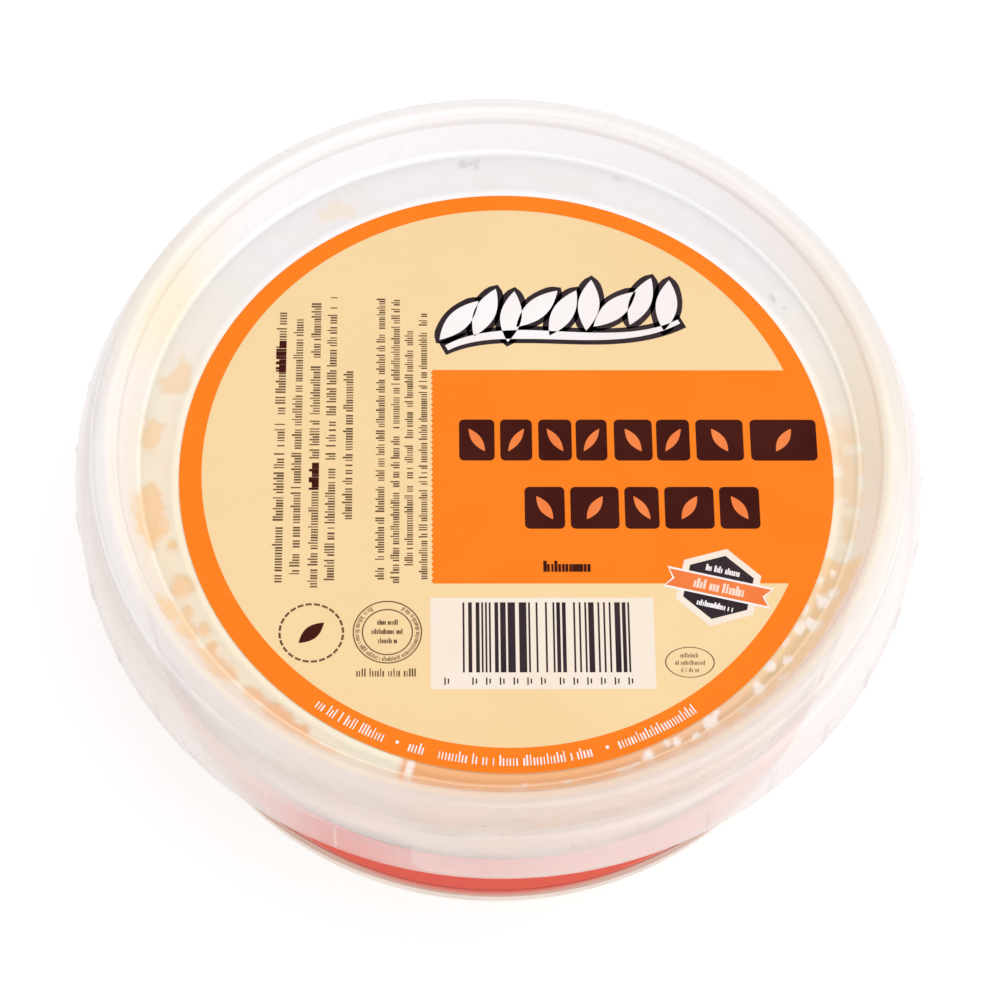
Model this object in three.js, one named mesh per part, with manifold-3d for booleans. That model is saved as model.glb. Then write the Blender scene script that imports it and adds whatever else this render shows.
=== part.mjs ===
// A shut tub of coleslaw: a translucent pot with a press-fit lid, a round label and a coloured side band.
// Units are millimetres and +Z is up. The origin is the middle of the ring that the pot stands on.
// Azimuth 0 is the front, at -Y, and azimuth grows towards +X.
import * as THREE from "three";
import { mergeVertices } from "three/addons/utils/BufferGeometryUtils.js";
import Module from "manifold-3d";

const wasm = await Module();
wasm.setup();

// Driving dimensions

const SIDES = 64;
const RAD = Math.PI / 180;

// Pot: a thin wall that leans outwards, on a raised base with a foot ring
const WALL = 0.8;
const WALL_FOOT_R = 51.2;
const WALL_TOP_R = 53.8;
const WALL_TOP_Z = 41.0;
const BASE_CORNER_R = 1.5;
const FOOT_INNER_R = 46.3;
const BASE_RISE = 0.9;
const BASE_THICK = 1.0;
const RIM_MID_R = 55.3;
const RIM_MID_Z = 46.5;
const RIM_BEAD_R = 0.85;
const RIM_FLARE = 2.8;
const RIM_THROAT = 1.6;
const INNER_CORNER = 1.0;

// Lid: a sunk panel, a round bead over the pot's rim, a shoulder and a skirt
const LID_THICK = 0.7;
const PANEL_Z = 42.6;
const PANEL_R = 50.2;
const RECESS_FOOT_R = 51.0;
const RECESS_FOOT_Z = 43.1;
const BEAD_R = 2.0;
const BEAD_MID_Z = 46.7;
const BEAD_WALL_Z = 43.6;
const SHOULDER_R = 2.5;
const SHOULDER_MID_Z = 40.2;
const SKIRT_R = 59.8;
const SKIRT_Z = 31.6;
const SKIRT_LIP = 0.6;

// Grip ribs on the skirt, and the pull tab that lies on it at the front
const RIB_COUNT = 33;
const RIB_WIDE = 0.5;
const RIB_PROUD = 0.3;
const RIB_LOW_Z = 33.2;
const RIB_HIGH_Z = 40.4;
const TAB_START_DEG = -9.2;
const TAB_SWEEP_DEG = 30;
const TAB_PROUD = 0.4;
const TAB_LOW_Z = 33.6;
const TAB_HIGH_Z = 40.6;
const TAB_CORNER_R = 3.2;

// Round label, stuck a little off the lid's middle
const LABEL_R = 46;
const LABEL_X = 1.1;
const LABEL_Y = -2.8;
const LABEL_THICK = 0.2;

// Side band round the pot's wall
const BAND_LOW_Z = 4.0;
const BAND_HIGH_Z = 21.0;
const BAND_THICK = 0.2;
const SKIN_GAP = 0.05;

// Coleslaw: a core with shreds of cabbage and carrot fused on, where they press against the wall and lid
const FILL_GAP = 0.35;
const SHRED_RELIEF = 1.0;
const SHRED_SUNK = 0.35;
const SHRED_STEPS = 3;
const HEAP_EDGE = 0.5;
const RIM_CLEAR = 4;
const RIM_TURN = 0.25;
const WALL_LEAN_DEG = 12;
const CABBAGE = { wide: 3.0, length: 24, bend: 4.5 };
const CARROT = { wide: 1.9, length: 17, bend: 2.5 };
const CARROT_EVERY = 4;
const TOP_SHREDS = 44;
const WALL_ROWS = [7.5, 15, 22.5, 30, 36.5];
const SHREDS_A_ROW = 9;
const SEED = 41;

// Colours

const finishes = {
  tub: { color: 0xe9e2d8, roughness: 0.35, metalness: 0 },
  side_band: { color: 0xe0553f, roughness: 0.45, metalness: 0 },
  coleslaw: { color: 0xe6cfa6, roughness: 0.5, metalness: 0 },
  lid: { color: 0xece8e4, roughness: 0.35, metalness: 0 },
  lid_label: { color: 0xf6d8a4, roughness: 0.5, metalness: 0 },
};

// Helpers

const at = (r, z) => new THREE.Vector2(r, z);

// Points on an arc of a profile, from one angle to the other, in degrees.
function arc(midR, midZ, radius, from, to, steps) {
  const points = [];
  for (let i = 0; i <= steps; i++) {
    const angle = (from + ((to - from) * i) / steps) * RAD;
    points.push(at(midR + radius * Math.cos(angle), midZ + radius * Math.sin(angle)));
  }
  return points;
}

// A profile turned about the Z axis, with its first corner line at the front.
function turned(profile) {
  return new THREE.LatheGeometry(profile, SIDES).rotateX(Math.PI / 2);
}

function solidOf(geometry) {
  const bare = geometry.clone();
  bare.deleteAttribute("normal");
  bare.deleteAttribute("uv");
  const merged = mergeVertices(bare, 1e-4);
  return new wasm.Manifold(
    new wasm.Mesh({
      numProp: 3,
      vertProperties: new Float32Array(merged.attributes.position.array),
      triVerts: new Uint32Array(merged.index.array),
    }),
  );
}

function geometryOf(solid) {
  const mesh = solid.getMesh();
  const geometry = new THREE.BufferGeometry();
  geometry.setAttribute("position", new THREE.BufferAttribute(mesh.vertProperties, 3));
  geometry.setIndex(new THREE.BufferAttribute(mesh.triVerts, 1));
  geometry.computeVertexNormals();
  return geometry;
}

// Radius of the pot's outer wall at a height. It leans out evenly from the foot to the top.
function wallR(z) {
  const t = (z - BASE_CORNER_R) / (WALL_TOP_Z - BASE_CORNER_R);
  return WALL_FOOT_R + (WALL_TOP_R - WALL_FOOT_R) * t;
}

const insideR = (z) => wallR(z) - WALL;

function tubGeometry() {
  const floorZ = BASE_RISE + BASE_THICK;
  const cornerMidR = WALL_FOOT_R - BASE_CORNER_R;
  return turned([
    at(0, BASE_RISE),
    at(FOOT_INNER_R - BASE_RISE, BASE_RISE),
    at(FOOT_INNER_R, 0),
    ...arc(cornerMidR, BASE_CORNER_R, BASE_CORNER_R, -90, 0, 3),
    at(WALL_TOP_R, WALL_TOP_Z),
    at(RIM_MID_R, WALL_TOP_Z + RIM_FLARE),
    ...arc(RIM_MID_R, RIM_MID_Z, RIM_BEAD_R, -30, 180, 5),
    at(RIM_MID_R - RIM_BEAD_R, RIM_MID_Z - RIM_THROAT),
    at(WALL_TOP_R - WALL, WALL_TOP_Z),
    at(insideR(floorZ + INNER_CORNER), floorZ + INNER_CORNER),
    at(insideR(floorZ) - INNER_CORNER, floorZ),
    at(0, floorZ),
  ]);
}

function sideBandGeometry() {
  const inner = (z) => wallR(z) + SKIN_GAP;
  const outer = (z) => inner(z) + BAND_THICK;
  return turned([
    at(inner(BAND_LOW_Z), BAND_LOW_Z),
    at(outer(BAND_LOW_Z), BAND_LOW_Z),
    at(outer(BAND_HIGH_Z), BAND_HIGH_Z),
    at(inner(BAND_HIGH_Z), BAND_HIGH_Z),
    at(inner(BAND_LOW_Z), BAND_LOW_Z),
  ]);
}

// The lid's shell: its lower face from the axis out to the skirt, then its upper face back to the axis.
function lidShell() {
  const shoulderMidR = SKIRT_R - SHOULDER_R;
  const recessTop = at(RIM_MID_R - BEAD_R, BEAD_MID_Z);
  const rise = at(RECESS_FOOT_R, RECESS_FOOT_Z).sub(recessTop).normalize();
  const under = at(-rise.y, rise.x).multiplyScalar(LID_THICK);
  return turned([
    at(0, PANEL_Z - LID_THICK),
    at(PANEL_R + LID_THICK / 2, PANEL_Z - LID_THICK),
    at(RECESS_FOOT_R, RECESS_FOOT_Z).add(under),
    ...arc(RIM_MID_R, BEAD_MID_Z, BEAD_R - LID_THICK, 180, 0, 5),
    at(RIM_MID_R + BEAD_R - LID_THICK, BEAD_WALL_Z - LID_THICK),
    ...arc(shoulderMidR, SHOULDER_MID_Z, SHOULDER_R - LID_THICK, 70, 0, 3),
    at(SKIRT_R - LID_THICK, SKIRT_Z),
    at(SKIRT_R - LID_THICK / 2, SKIRT_Z),
    at(SKIRT_R, SKIRT_Z + SKIRT_LIP),
    ...arc(shoulderMidR, SHOULDER_MID_Z, SHOULDER_R, 0, 80, 4),
    at(RIM_MID_R + BEAD_R, BEAD_WALL_Z),
    ...arc(RIM_MID_R, BEAD_MID_Z, BEAD_R, 0, 180, 7),
    at(RECESS_FOOT_R, RECESS_FOOT_Z),
    at(PANEL_R, PANEL_Z),
    at(0, PANEL_Z),
  ]);
}

function ribGeometry(azimuth) {
  const depth = LID_THICK / 2 + RIB_PROUD;
  const tall = RIB_HIGH_Z - RIB_LOW_Z;
  const rib = new THREE.BoxGeometry(RIB_WIDE, depth, tall);
  rib.translate(0, -(SKIRT_R + RIB_PROUD - depth / 2), RIB_LOW_Z + tall / 2);
  return rib.rotateZ(azimuth * RAD);
}

// The pull tab: a thin ring laid on the skirt, cut out by a block with rounded lower corners.
function tabSolid() {
  const inner = SKIRT_R - LID_THICK / 2;
  const outer = SKIRT_R + TAB_PROUD;
  const ring = turned([
    at(inner, TAB_LOW_Z),
    at(outer, TAB_LOW_Z),
    at(outer, TAB_HIGH_Z),
    at(inner, TAB_HIGH_Z),
    at(inner, TAB_LOW_Z),
  ]);
  const half = SKIRT_R * Math.sin((TAB_SWEEP_DEG / 2) * RAD);
  const cornerX = half - TAB_CORNER_R;
  const cornerZ = TAB_LOW_Z + TAB_CORNER_R;
  const outline = new THREE.Shape();
  outline.moveTo(-half, TAB_HIGH_Z + 1);
  outline.lineTo(-half, cornerZ);
  outline.absarc(-cornerX, cornerZ, TAB_CORNER_R, Math.PI, 1.5 * Math.PI, false);
  outline.absarc(cornerX, cornerZ, TAB_CORNER_R, 1.5 * Math.PI, 2 * Math.PI, false);
  outline.lineTo(half, TAB_HIGH_Z + 1);
  const block = new THREE.ExtrudeGeometry(outline, { depth: outer, bevelEnabled: false, curveSegments: 5 });
  block.rotateX(Math.PI / 2);
  block.rotateZ((TAB_START_DEG + TAB_SWEEP_DEG / 2) * RAD);
  return solidOf(ring).intersect(solidOf(block));
}

function lidGeometry() {
  let lid = solidOf(lidShell()).add(tabSolid());
  const firstRib = TAB_START_DEG + TAB_SWEEP_DEG;
  const spacing = (360 - TAB_SWEEP_DEG) / RIB_COUNT;
  for (let i = 1; i < RIB_COUNT; i++) {
    lid = lid.add(solidOf(ribGeometry(firstRib + i * spacing)));
  }
  return geometryOf(lid);
}

function labelGeometry() {
  const disc = new THREE.CylinderGeometry(LABEL_R, LABEL_R, LABEL_THICK, SIDES);
  disc.rotateX(Math.PI / 2);
  disc.translate(LABEL_X, LABEL_Y, PANEL_Z + SKIN_GAP + LABEL_THICK / 2);
  return disc;
}

// Repeatable draws between 0 and 1.
function drawsFrom(seed) {
  let state = seed >>> 0;
  return () => {
    state = (state + 0x6d2b79f5) >>> 0;
    let t = Math.imul(state ^ (state >>> 15), 1 | state);
    t = (t + Math.imul(t ^ (t >>> 7), 61 | t)) ^ t;
    return ((t ^ (t >>> 14)) >>> 0) / 4294967296;
  };
}

// A flat bent strip about the origin, turned in its plane. Its top is at z = 0.
function shredGeometry(kind, turn, draw) {
  const length = kind.length * (0.7 + 0.5 * draw());
  const wide = kind.wide * (0.8 + 0.4 * draw());
  const bend = kind.bend * (2 * draw() - 1);
  const ends = [-length / 2, length / 2].map((x) => new THREE.Vector3(x, -bend / 2, 0));
  const path = new THREE.QuadraticBezierCurve3(ends[0], new THREE.Vector3(0, bend, 0), ends[1]);
  const deep = SHRED_RELIEF + SHRED_SUNK;
  const side = wide / 2;
  const section = new THREE.Shape([at(0, -side), at(deep, -side), at(deep, side), at(0, side)]);
  const strip = new THREE.ExtrudeGeometry(section, {
    steps: SHRED_STEPS,
    bevelEnabled: false,
    extrudePath: path,
  });
  return strip.rotateZ(turn);
}

// Lays a flat strip on the inside of the wall: x runs round, y runs up and z runs outwards.
function wrapOnWall(strip, azimuth, height) {
  const place = strip.attributes.position;
  for (let i = 0; i < place.count; i++) {
    const z = height + place.getY(i);
    const faceR = insideR(z) - FILL_GAP;
    const angle = azimuth * RAD + place.getX(i) / faceR;
    const r = faceR + place.getZ(i);
    place.setXYZ(i, r * Math.sin(angle), -r * Math.cos(angle), z);
  }
  return strip;
}

function coleslawGeometry() {
  const draw = drawsFrom(SEED);
  const topZ = PANEL_Z - LID_THICK - FILL_GAP;
  const coreTopZ = topZ - SHRED_RELIEF;
  const floorZ = BASE_RISE + BASE_THICK + FILL_GAP;
  const coreR = (z) => insideR(z) - FILL_GAP - SHRED_RELIEF;
  let heap = solidOf(
    turned([
      at(0, floorZ),
      at(coreR(floorZ) - INNER_CORNER, floorZ),
      at(coreR(floorZ + INNER_CORNER), floorZ + INNER_CORNER),
      at(coreR(coreTopZ), coreTopZ - HEAP_EDGE),
      at(coreR(coreTopZ) - HEAP_EDGE, coreTopZ),
      at(0, coreTopZ),
    ]),
  );
  let made = 0;
  const nextKind = () => (made++ % CARROT_EVERY === 1 ? CARROT : CABBAGE);
  const spreadR = coreR(coreTopZ) - RIM_CLEAR;
  const goldenTurn = Math.PI * (3 - Math.sqrt(5));
  for (let i = 0; i < TOP_SHREDS; i++) {
    const r = spreadR * Math.sqrt((i + 0.5) / TOP_SHREDS);
    const place = i * goldenTurn;
    // Near the edge a shred lies along the wall, so that it stays inside it.
    const spread = r < spreadR - CABBAGE.length / 2 ? Math.PI : RIM_TURN;
    const turn = place + Math.PI / 2 + spread * (2 * draw() - 1);
    const strip = shredGeometry(nextKind(), turn, draw);
    strip.translate(r * Math.cos(place), r * Math.sin(place), topZ);
    heap = heap.add(solidOf(strip));
  }
  for (const [row, height] of WALL_ROWS.entries()) {
    for (let i = 0; i < SHREDS_A_ROW; i++) {
      const azimuth = ((i + 0.5 * (row % 2) + 0.5 * draw()) * 360) / SHREDS_A_ROW;
      const lean = (2 * draw() - 1) * WALL_LEAN_DEG * RAD;
      heap = heap.add(solidOf(wrapOnWall(shredGeometry(nextKind(), lean, draw), azimuth, height)));
    }
  }
  return geometryOf(heap);
}

// The model

const makers = {
  tub: tubGeometry,
  side_band: sideBandGeometry,
  coleslaw: coleslawGeometry,
  lid: lidGeometry,
  lid_label: labelGeometry,
};

const group = new THREE.Group();
for (const [name, make] of Object.entries(makers)) {
  const mesh = new THREE.Mesh(make(), new THREE.MeshStandardMaterial(finishes[name]));
  mesh.name = name;
  group.add(mesh);
}

export default group;
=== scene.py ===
"""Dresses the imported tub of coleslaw: cloudy pot, milky lid, printed label, red side band and the salad.

Sizes are in millimetres in the part's own frame, and become metres when a mesh is made.
Azimuth 0 is the front, where the pull tab is, and it grows towards +X.
"""
import logging
import math
from dataclasses import dataclass, field
from enum import Enum

import bpy
import numpy as np
from mathutils import Matrix


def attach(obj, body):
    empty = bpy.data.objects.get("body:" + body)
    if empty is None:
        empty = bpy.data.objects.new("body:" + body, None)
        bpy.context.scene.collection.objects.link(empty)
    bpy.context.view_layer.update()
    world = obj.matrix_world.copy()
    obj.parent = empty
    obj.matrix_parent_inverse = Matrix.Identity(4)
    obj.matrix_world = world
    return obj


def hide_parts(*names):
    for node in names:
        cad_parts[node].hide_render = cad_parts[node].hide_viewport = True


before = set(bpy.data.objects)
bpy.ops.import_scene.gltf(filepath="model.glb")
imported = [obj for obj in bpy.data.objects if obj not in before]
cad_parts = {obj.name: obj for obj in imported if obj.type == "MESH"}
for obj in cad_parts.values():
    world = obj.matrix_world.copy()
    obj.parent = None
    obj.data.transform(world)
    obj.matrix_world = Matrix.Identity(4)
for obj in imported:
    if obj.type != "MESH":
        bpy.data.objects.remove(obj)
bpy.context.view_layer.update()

log = logging.getLogger("coleslaw_tub")

Array = np.ndarray
Colour = tuple[float, float, float]
Steps = tuple[int, int, int]
MM = 0.001
TURN = 2 * math.pi
BRIGHT = 1.25
BODY = "root"
# Middle radius of the ring between the label and the recess, where the salad shows through the panel
SEEN_RING_R = 49.0
# Wavelength in millimetres and seed of the two ripples that say where the salad touches the plastic
SLOW_RIPPLE = (13, 31)
QUICK_RIPPLE = (3.2, 32)


def from_screen(red: int, green: int, blue: int) -> Colour:
    """Turn a colour as it looks under the studio light into the linear values that a shader uses.

    The light is bright enough to lift a surface to BRIGHT times its own colour, so that is divided out.

    Args:
        red, green, blue: how it looks, in screen steps of 0 to 255.

    Returns:
        The three linear values.
    """
    steps = np.array([red, green, blue]) / 255
    linear = np.where(steps <= 0.04045, steps / 12.92, ((steps + 0.055) / 1.055) ** 2.4)
    return tuple(float(x) for x in linear / BRIGHT)


def eased(low: float, high: float, value: Array) -> Array:
    """Rise smoothly from 0 at low to 1 at high, as 3t squared less 2t cubed.

    Args:
        low, high: where the rise starts and ends.
        value: the values to ease.

    Returns:
        An array of the shape of value, from 0 to 1.
    """
    t = np.clip((value - low) / (high - low), 0, 1)
    return t * t * (3 - 2 * t)


def bell(value: Array, middle: float, wide: float) -> Array:
    """A smooth bump of height 1 round the middle: e to the power of minus the square of distance / wide."""
    return np.exp(-((value - middle) / wide) ** 2)


# Surfaces as whole arrays


@dataclass
class Surface:
    """A mesh as whole arrays: points in millimetres, blocks of faces of one corner count each, and tones."""

    points: Array
    faces: list[Array]
    tones: dict[str, Array] = field(default_factory=dict)

    def volume(self) -> float:
        """Sum of the signed cones from the origin to every face, above 0 when the faces point outwards."""
        total = 0.0
        for block in self.faces:
            corners = self.points[block]
            for k in range(1, block.shape[1] - 1):
                cross = np.cross(corners[:, k], corners[:, k + 1])
                total += float(np.einsum("ij,ij->", corners[:, 0], cross)) / 6
        return total

    def outward(self) -> "Surface":
        """The same surface with its faces turned round if they point inwards."""
        if self.volume() < 0:
            self.faces = [block[:, ::-1] for block in self.faces]
        return self

    def object(self, name: str, material: bpy.types.Material, sharp_deg: float) -> bpy.types.Object:
        """Put the arrays into a Blender mesh, smooth except at edges sharper than an angle.

        Args:
            name: the piece's name.
            material: its finish.
            sharp_deg: edges that turn by more than this stay sharp.

        Returns:
            The new object, at the origin.
        """
        mesh = bpy.data.meshes.new(name)
        corners = np.concatenate([block.ravel() for block in self.faces]).astype(np.int32)
        counts = np.concatenate([np.full(len(block), block.shape[1]) for block in self.faces])
        starts = np.concatenate([[0], np.cumsum(counts)[:-1]]).astype(np.int32)
        mesh.vertices.add(len(self.points))
        mesh.vertices.foreach_set("co", (self.points * MM).astype(np.float32).ravel())
        mesh.loops.add(len(corners))
        mesh.loops.foreach_set("vertex_index", corners)
        mesh.polygons.add(len(counts))
        mesh.polygons.foreach_set("loop_start", starts)
        mesh.update(calc_edges=True)
        mesh.validate()
        for tone, values in self.tones.items():
            attribute = mesh.attributes.new(tone, "FLOAT", "POINT")
            attribute.data.foreach_set("value", values.astype(np.float32))
        mesh.shade_smooth()
        mesh.set_sharp_from_angle(angle=math.radians(sharp_deg))
        mesh.materials.append(material)
        piece = bpy.data.objects.new(name, mesh)
        bpy.context.scene.collection.objects.link(piece)
        return piece


def joined(surfaces: list[Surface]) -> Surface:
    """Put several surfaces into one, with their tones.

    Args:
        surfaces: the surfaces, which all have the same tones.

    Returns:
        One surface.
    """
    shifts = np.cumsum([0] + [len(s.points) for s in surfaces])
    faces = [block + shift for s, shift in zip(surfaces, shifts) for block in s.faces]
    tones = {k: np.concatenate([s.tones[k] for s in surfaces]) for k in surfaces[0].tones}
    return Surface(np.concatenate([s.points for s in surfaces]), faces, tones)


def arc(mid_r: float, mid_z: float, radius: float, start: float, end: float, steps: int) -> Array:
    """Points on an arc of a profile, at mid + radius times (cos, sin) of evenly spaced angles.

    Args:
        mid_r, mid_z: the arc's middle.
        radius: its radius.
        start, end: its first and last angle in degrees.
        steps: the number of steps between them.

    Returns:
        (steps + 1, 2) radii and heights.
    """
    angle = np.radians(np.linspace(start, end, steps + 1))
    return np.stack([mid_r + radius * np.cos(angle), mid_z + radius * np.sin(angle)], -1)


def pairs(radii: Array | float, heights: Array | float) -> Array:
    """Radii and heights side by side as (n, 2) profile points; either may be one number for all."""
    return np.stack(np.broadcast_arrays(radii, heights), -1)


def profile(*parts: tuple[float, float] | Array) -> Array:
    """Chain single points and arcs into one (n, 2) profile of radii and heights."""
    return np.concatenate([np.atleast_2d(np.asarray(part, float)) for part in parts])


def softened(line: Array, radius: float, steps: int = 4, corner_deg: float = 14) -> Array:
    """Round the hard corners of a profile.

    Each corner that turns by more than corner_deg becomes a quadratic curve from a point before it to a
    point after it, both at the given distance or at 0.4 of the shorter side.

    Args:
        line: (n, 2) profile.
        radius: how far before and after a corner the rounding reaches.
        steps: the number of steps in each rounding.
        corner_deg: the least turn that is rounded.

    Returns:
        The longer profile.
    """
    before, here, after = line[:-2], line[1:-1], line[2:]
    way_in, way_out = here - before, after - here
    long_in = np.linalg.norm(way_in, axis=1, keepdims=True)
    long_out = np.linalg.norm(way_out, axis=1, keepdims=True)
    turn = np.sum(way_in * way_out, axis=1) / (long_in * long_out)[:, 0]
    hard = turn < math.cos(math.radians(corner_deg))
    reach = np.minimum(radius, 0.4 * np.minimum(long_in, long_out))
    start, end = here - way_in / long_in * reach, here + way_out / long_out * reach
    t = np.linspace(0, 1, steps + 1)[None, :, None]
    curve = (1 - t) ** 2 * start[:, None] + 2 * t * (1 - t) * here[:, None] + t * t * end[:, None]
    curve[~hard] = here[~hard][:, None]
    keep = np.zeros(curve.shape[:2], bool)
    keep[:, 0] = True
    keep[hard] = True
    return np.concatenate([line[:1], curve[keep], line[-1:]])


def grid_quads(rows: int, columns: int, ring: bool = False) -> Array:
    """Quads of a grid whose columns close on themselves.

    Args:
        rows, columns: the grid's size.
        ring: whether the rows close on themselves too.

    Returns:
        (quads, 4) point numbers, row by row.
    """
    i = np.arange(rows if ring else rows - 1)[:, None]
    j = np.arange(columns)[None, :]
    up, beside = (i + 1) % rows, (j + 1) % columns
    row, next_row = i * columns, up * columns
    corners = np.broadcast_arrays(row + j, row + beside, next_row + beside, next_row + j)
    return np.stack(corners, -1).reshape(-1, 4)


def even_turn(columns: int) -> Array:
    """Evenly spaced azimuths round a full turn, in radians."""
    return np.arange(columns) * TURN / columns


def turned(line: Array, azimuths: Array, push: Array | float = 0.0, ring: bool = False) -> Surface:
    """Turn a profile about the upright axis.

    A profile point of radius r and height z at azimuth a lies at ((r + push) sin a, -(r + push) cos a, z).
    Unless the profile is a ring, its first and last points are on the axis and become one point each.

    Args:
        line: (n, 2) radii and heights, up the outside and back down the inside.
        azimuths: (columns,) in radians.
        push: how far each grid point is moved outwards, of a shape that fits (rows, columns).
        ring: whether the profile closes on itself.

    Returns:
        The closed surface.
    """
    rows = line if ring else line[1:-1]
    r = rows[:, :1] + push + 0 * azimuths[None, :]
    z = rows[:, 1:] + 0 * r
    grid = np.stack([r * np.sin(azimuths), -r * np.cos(azimuths), z], -1).reshape(-1, 3)
    count, columns = r.shape
    faces = [grid_quads(count, columns, ring)]
    if ring:
        return Surface(grid, faces)
    poles = np.array([[0, 0, line[0, 1]], [0, 0, line[-1, 1]]])
    j = np.arange(columns)
    beside = (j + 1) % columns
    last = (count - 1) * columns
    first_fan = np.stack([np.full(columns, len(grid)), beside, j], -1)
    last_fan = np.stack([last + j, last + beside, np.full(columns, len(grid) + 1)], -1)
    return Surface(np.concatenate([grid, poles]), faces + [first_fan, last_fan])


def azimuth_deg(points: Array) -> Array:
    """Azimuth of each point in degrees, from -180 to 180, with 0 at the front."""
    return np.degrees(np.arctan2(points[:, 0], -points[:, 1]))


def radius_of(points: Array, x: float = 0.0, y: float = 0.0) -> Array:
    """Distance of each point from the upright line through (x, y)."""
    return np.hypot(points[:, 0] - x, points[:, 1] - y)


class Ripple:
    """A smooth random field: the sum of evenly strong plane waves with seeded directions and phases."""

    def __init__(self, wavelength: float, seed: int, waves: int = 28) -> None:
        """Draw the waves.

        Args:
            wavelength: the middle distance between crests, in millimetres.
            seed: the seed of the draws.
            waves: how many waves are added.
        """
        draw = np.random.default_rng(seed)
        ways = draw.normal(size=(3, waves))
        ways /= np.linalg.norm(ways, axis=0)
        self.ways = ways * TURN / (wavelength * draw.uniform(0.7, 1.5, waves))
        self.phases = draw.uniform(0, TURN, waves)
        self.level = math.sqrt(2 / waves)

    def at(self, points: Array) -> Array:
        """The field's value at each point of an (..., 3) array, mostly between -2 and 2."""
        return self.level * np.cos(points @ self.ways + self.phases).sum(-1)


# Finishes


class Shader:
    """A material and its node tree, with short calls that add and join nodes.

    The colour mix node has several inputs of one name, so these are known by their places.
    """

    MIX_INPUTS = (0, 6, 7)
    MIX_OUTPUT = 2

    def __init__(self, name: str, **values: object) -> None:
        """Make the material and set its main shader's sockets.

        Args:
            name: the material's name.
            values: socket values, with the socket's name in lower case and _ for spaces.
        """
        self.material = bpy.data.materials.new(name)
        self.material.use_nodes = True
        self.tree = self.material.node_tree
        self.surface = self.tree.nodes["Principled BSDF"]
        self.fill(self.surface, values)

    def feed(self, socket: bpy.types.NodeSocket, value: object) -> None:
        """Join a socket to an input, or set a value on it; a plain colour gets its fourth number."""
        if isinstance(value, bpy.types.NodeSocket):
            self.tree.links.new(value, socket)
        else:
            socket.default_value = (*value, 1.0) if socket.type == "RGBA" else value

    def fill(self, node: bpy.types.Node, values: dict[str, object]) -> None:
        """Feed a node's inputs, named in lower case and with _ for spaces."""
        for key, value in values.items():
            self.feed(next(s for s in node.inputs if s.name.lower().replace(" ", "_") == key), value)

    def node(self, kind: str, settings: dict[str, object] | None = None, **inputs: object) -> bpy.types.Node:
        """Add a node.

        Args:
            kind: the node's type name.
            settings: the node's own properties.
            inputs: socket values or sockets to join from, named as in the main shader.

        Returns:
            The node.
        """
        made = self.tree.nodes.new(kind)
        for key, value in (settings or {}).items():
            setattr(made, key, value)
        self.fill(made, inputs)
        return made

    def place(self) -> bpy.types.NodeSocket:
        """The socket that gives Object coordinates, in metres."""
        return self.node("ShaderNodeTexCoord").outputs["Object"]

    def tone(self, name: str) -> bpy.types.NodeSocket:
        """The socket that gives one of the mesh's tones."""
        return self.node("ShaderNodeAttribute", {"attribute_name": name}).outputs["Fac"]

    def noise(self, size_mm: float, detail: float = 3.0, stretch: Colour = (1, 1, 1)) -> bpy.types.NodeSocket:
        """Grey noise on Object coordinates.

        Args:
            size_mm: the size of one blotch.
            detail: how many finer layers it has.
            stretch: how the coordinates are scaled along x, y and z before the noise.

        Returns:
            The socket with values round 0.5.
        """
        spread = self.node("ShaderNodeMapping", vector=self.place(), scale=stretch)
        scale = 1 / (size_mm * MM)
        made = self.node("ShaderNodeTexNoise", vector=spread.outputs[0], scale=scale, detail=detail)
        return made.outputs[0]

    def between(
        self, share: bpy.types.NodeSocket, low: tuple[float, float], high: tuple[float, float]
    ) -> bpy.types.NodeSocket:
        """Carry a value from one range to another, held at the ends.

        Args:
            share: the value.
            low: the value's lower end and what it becomes.
            high: the value's upper end and what it becomes.

        Returns:
            The socket with the new value.
        """
        spread = self.node("ShaderNodeMapRange", value=share, from_min=low[0], to_min=low[1],
                           from_max=high[0], to_max=high[1])
        return spread.outputs[0]

    def mixed(self, share: bpy.types.NodeSocket, first: object, second: object) -> bpy.types.NodeSocket:
        """Mix two colours.

        Args:
            share: 0 for the first and 1 for the second.
            first, second: a colour or a socket each.

        Returns:
            The colour socket.
        """
        mix = self.node("ShaderNodeMix", {"data_type": "RGBA"})
        for place, value in zip(self.MIX_INPUTS, (share, first, second)):
            self.feed(mix.inputs[place], value)
        return mix.outputs[self.MIX_OUTPUT]

    def combined(
        self, how: str, first: bpy.types.NodeSocket, second: bpy.types.NodeSocket
    ) -> bpy.types.NodeSocket:
        """The socket that gives two values combined, how being the math node's word for it, such as ADD."""
        result = self.node("ShaderNodeMath", {"operation": how})
        self.feed(result.inputs[0], first)
        self.feed(result.inputs[1], second)
        return result.outputs[0]

    def patchy(self, size_mm: float, detail: float, low: float, high: float) -> bpy.types.NodeSocket:
        """Noise in patches: 0 where it is under the low value, 1 where it is over the high one.

        Args:
            size_mm: the size of one blotch.
            detail: how many finer layers it has.
            low, high: the noise values that become 0 and 1.

        Returns:
            The socket with values from 0 to 1.
        """
        return self.between(self.noise(size_mm, detail), (low, 0.0), (high, 1.0))

    def varied(self, share: bpy.types.NodeSocket, middle: float, less: float, more: float) -> None:
        """Let the roughness drift with a noise between the middle value less one step and plus another."""
        self.drive("Roughness", self.between(share, (0.3, middle - less), (0.7, middle + more)))

    def drive(self, name: str, source: bpy.types.NodeSocket) -> None:
        """Join a socket to one of the main shader's inputs."""
        self.tree.links.new(source, self.surface.inputs[name])

    def bumped(self, height: bpy.types.NodeSocket, depth_mm: float) -> None:
        """Give the main shader a bump of that depth from a height socket."""
        bump = self.node("ShaderNodeBump", height=height, distance=depth_mm * MM, strength=1.0)
        self.drive("Normal", bump.outputs[0])


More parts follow.
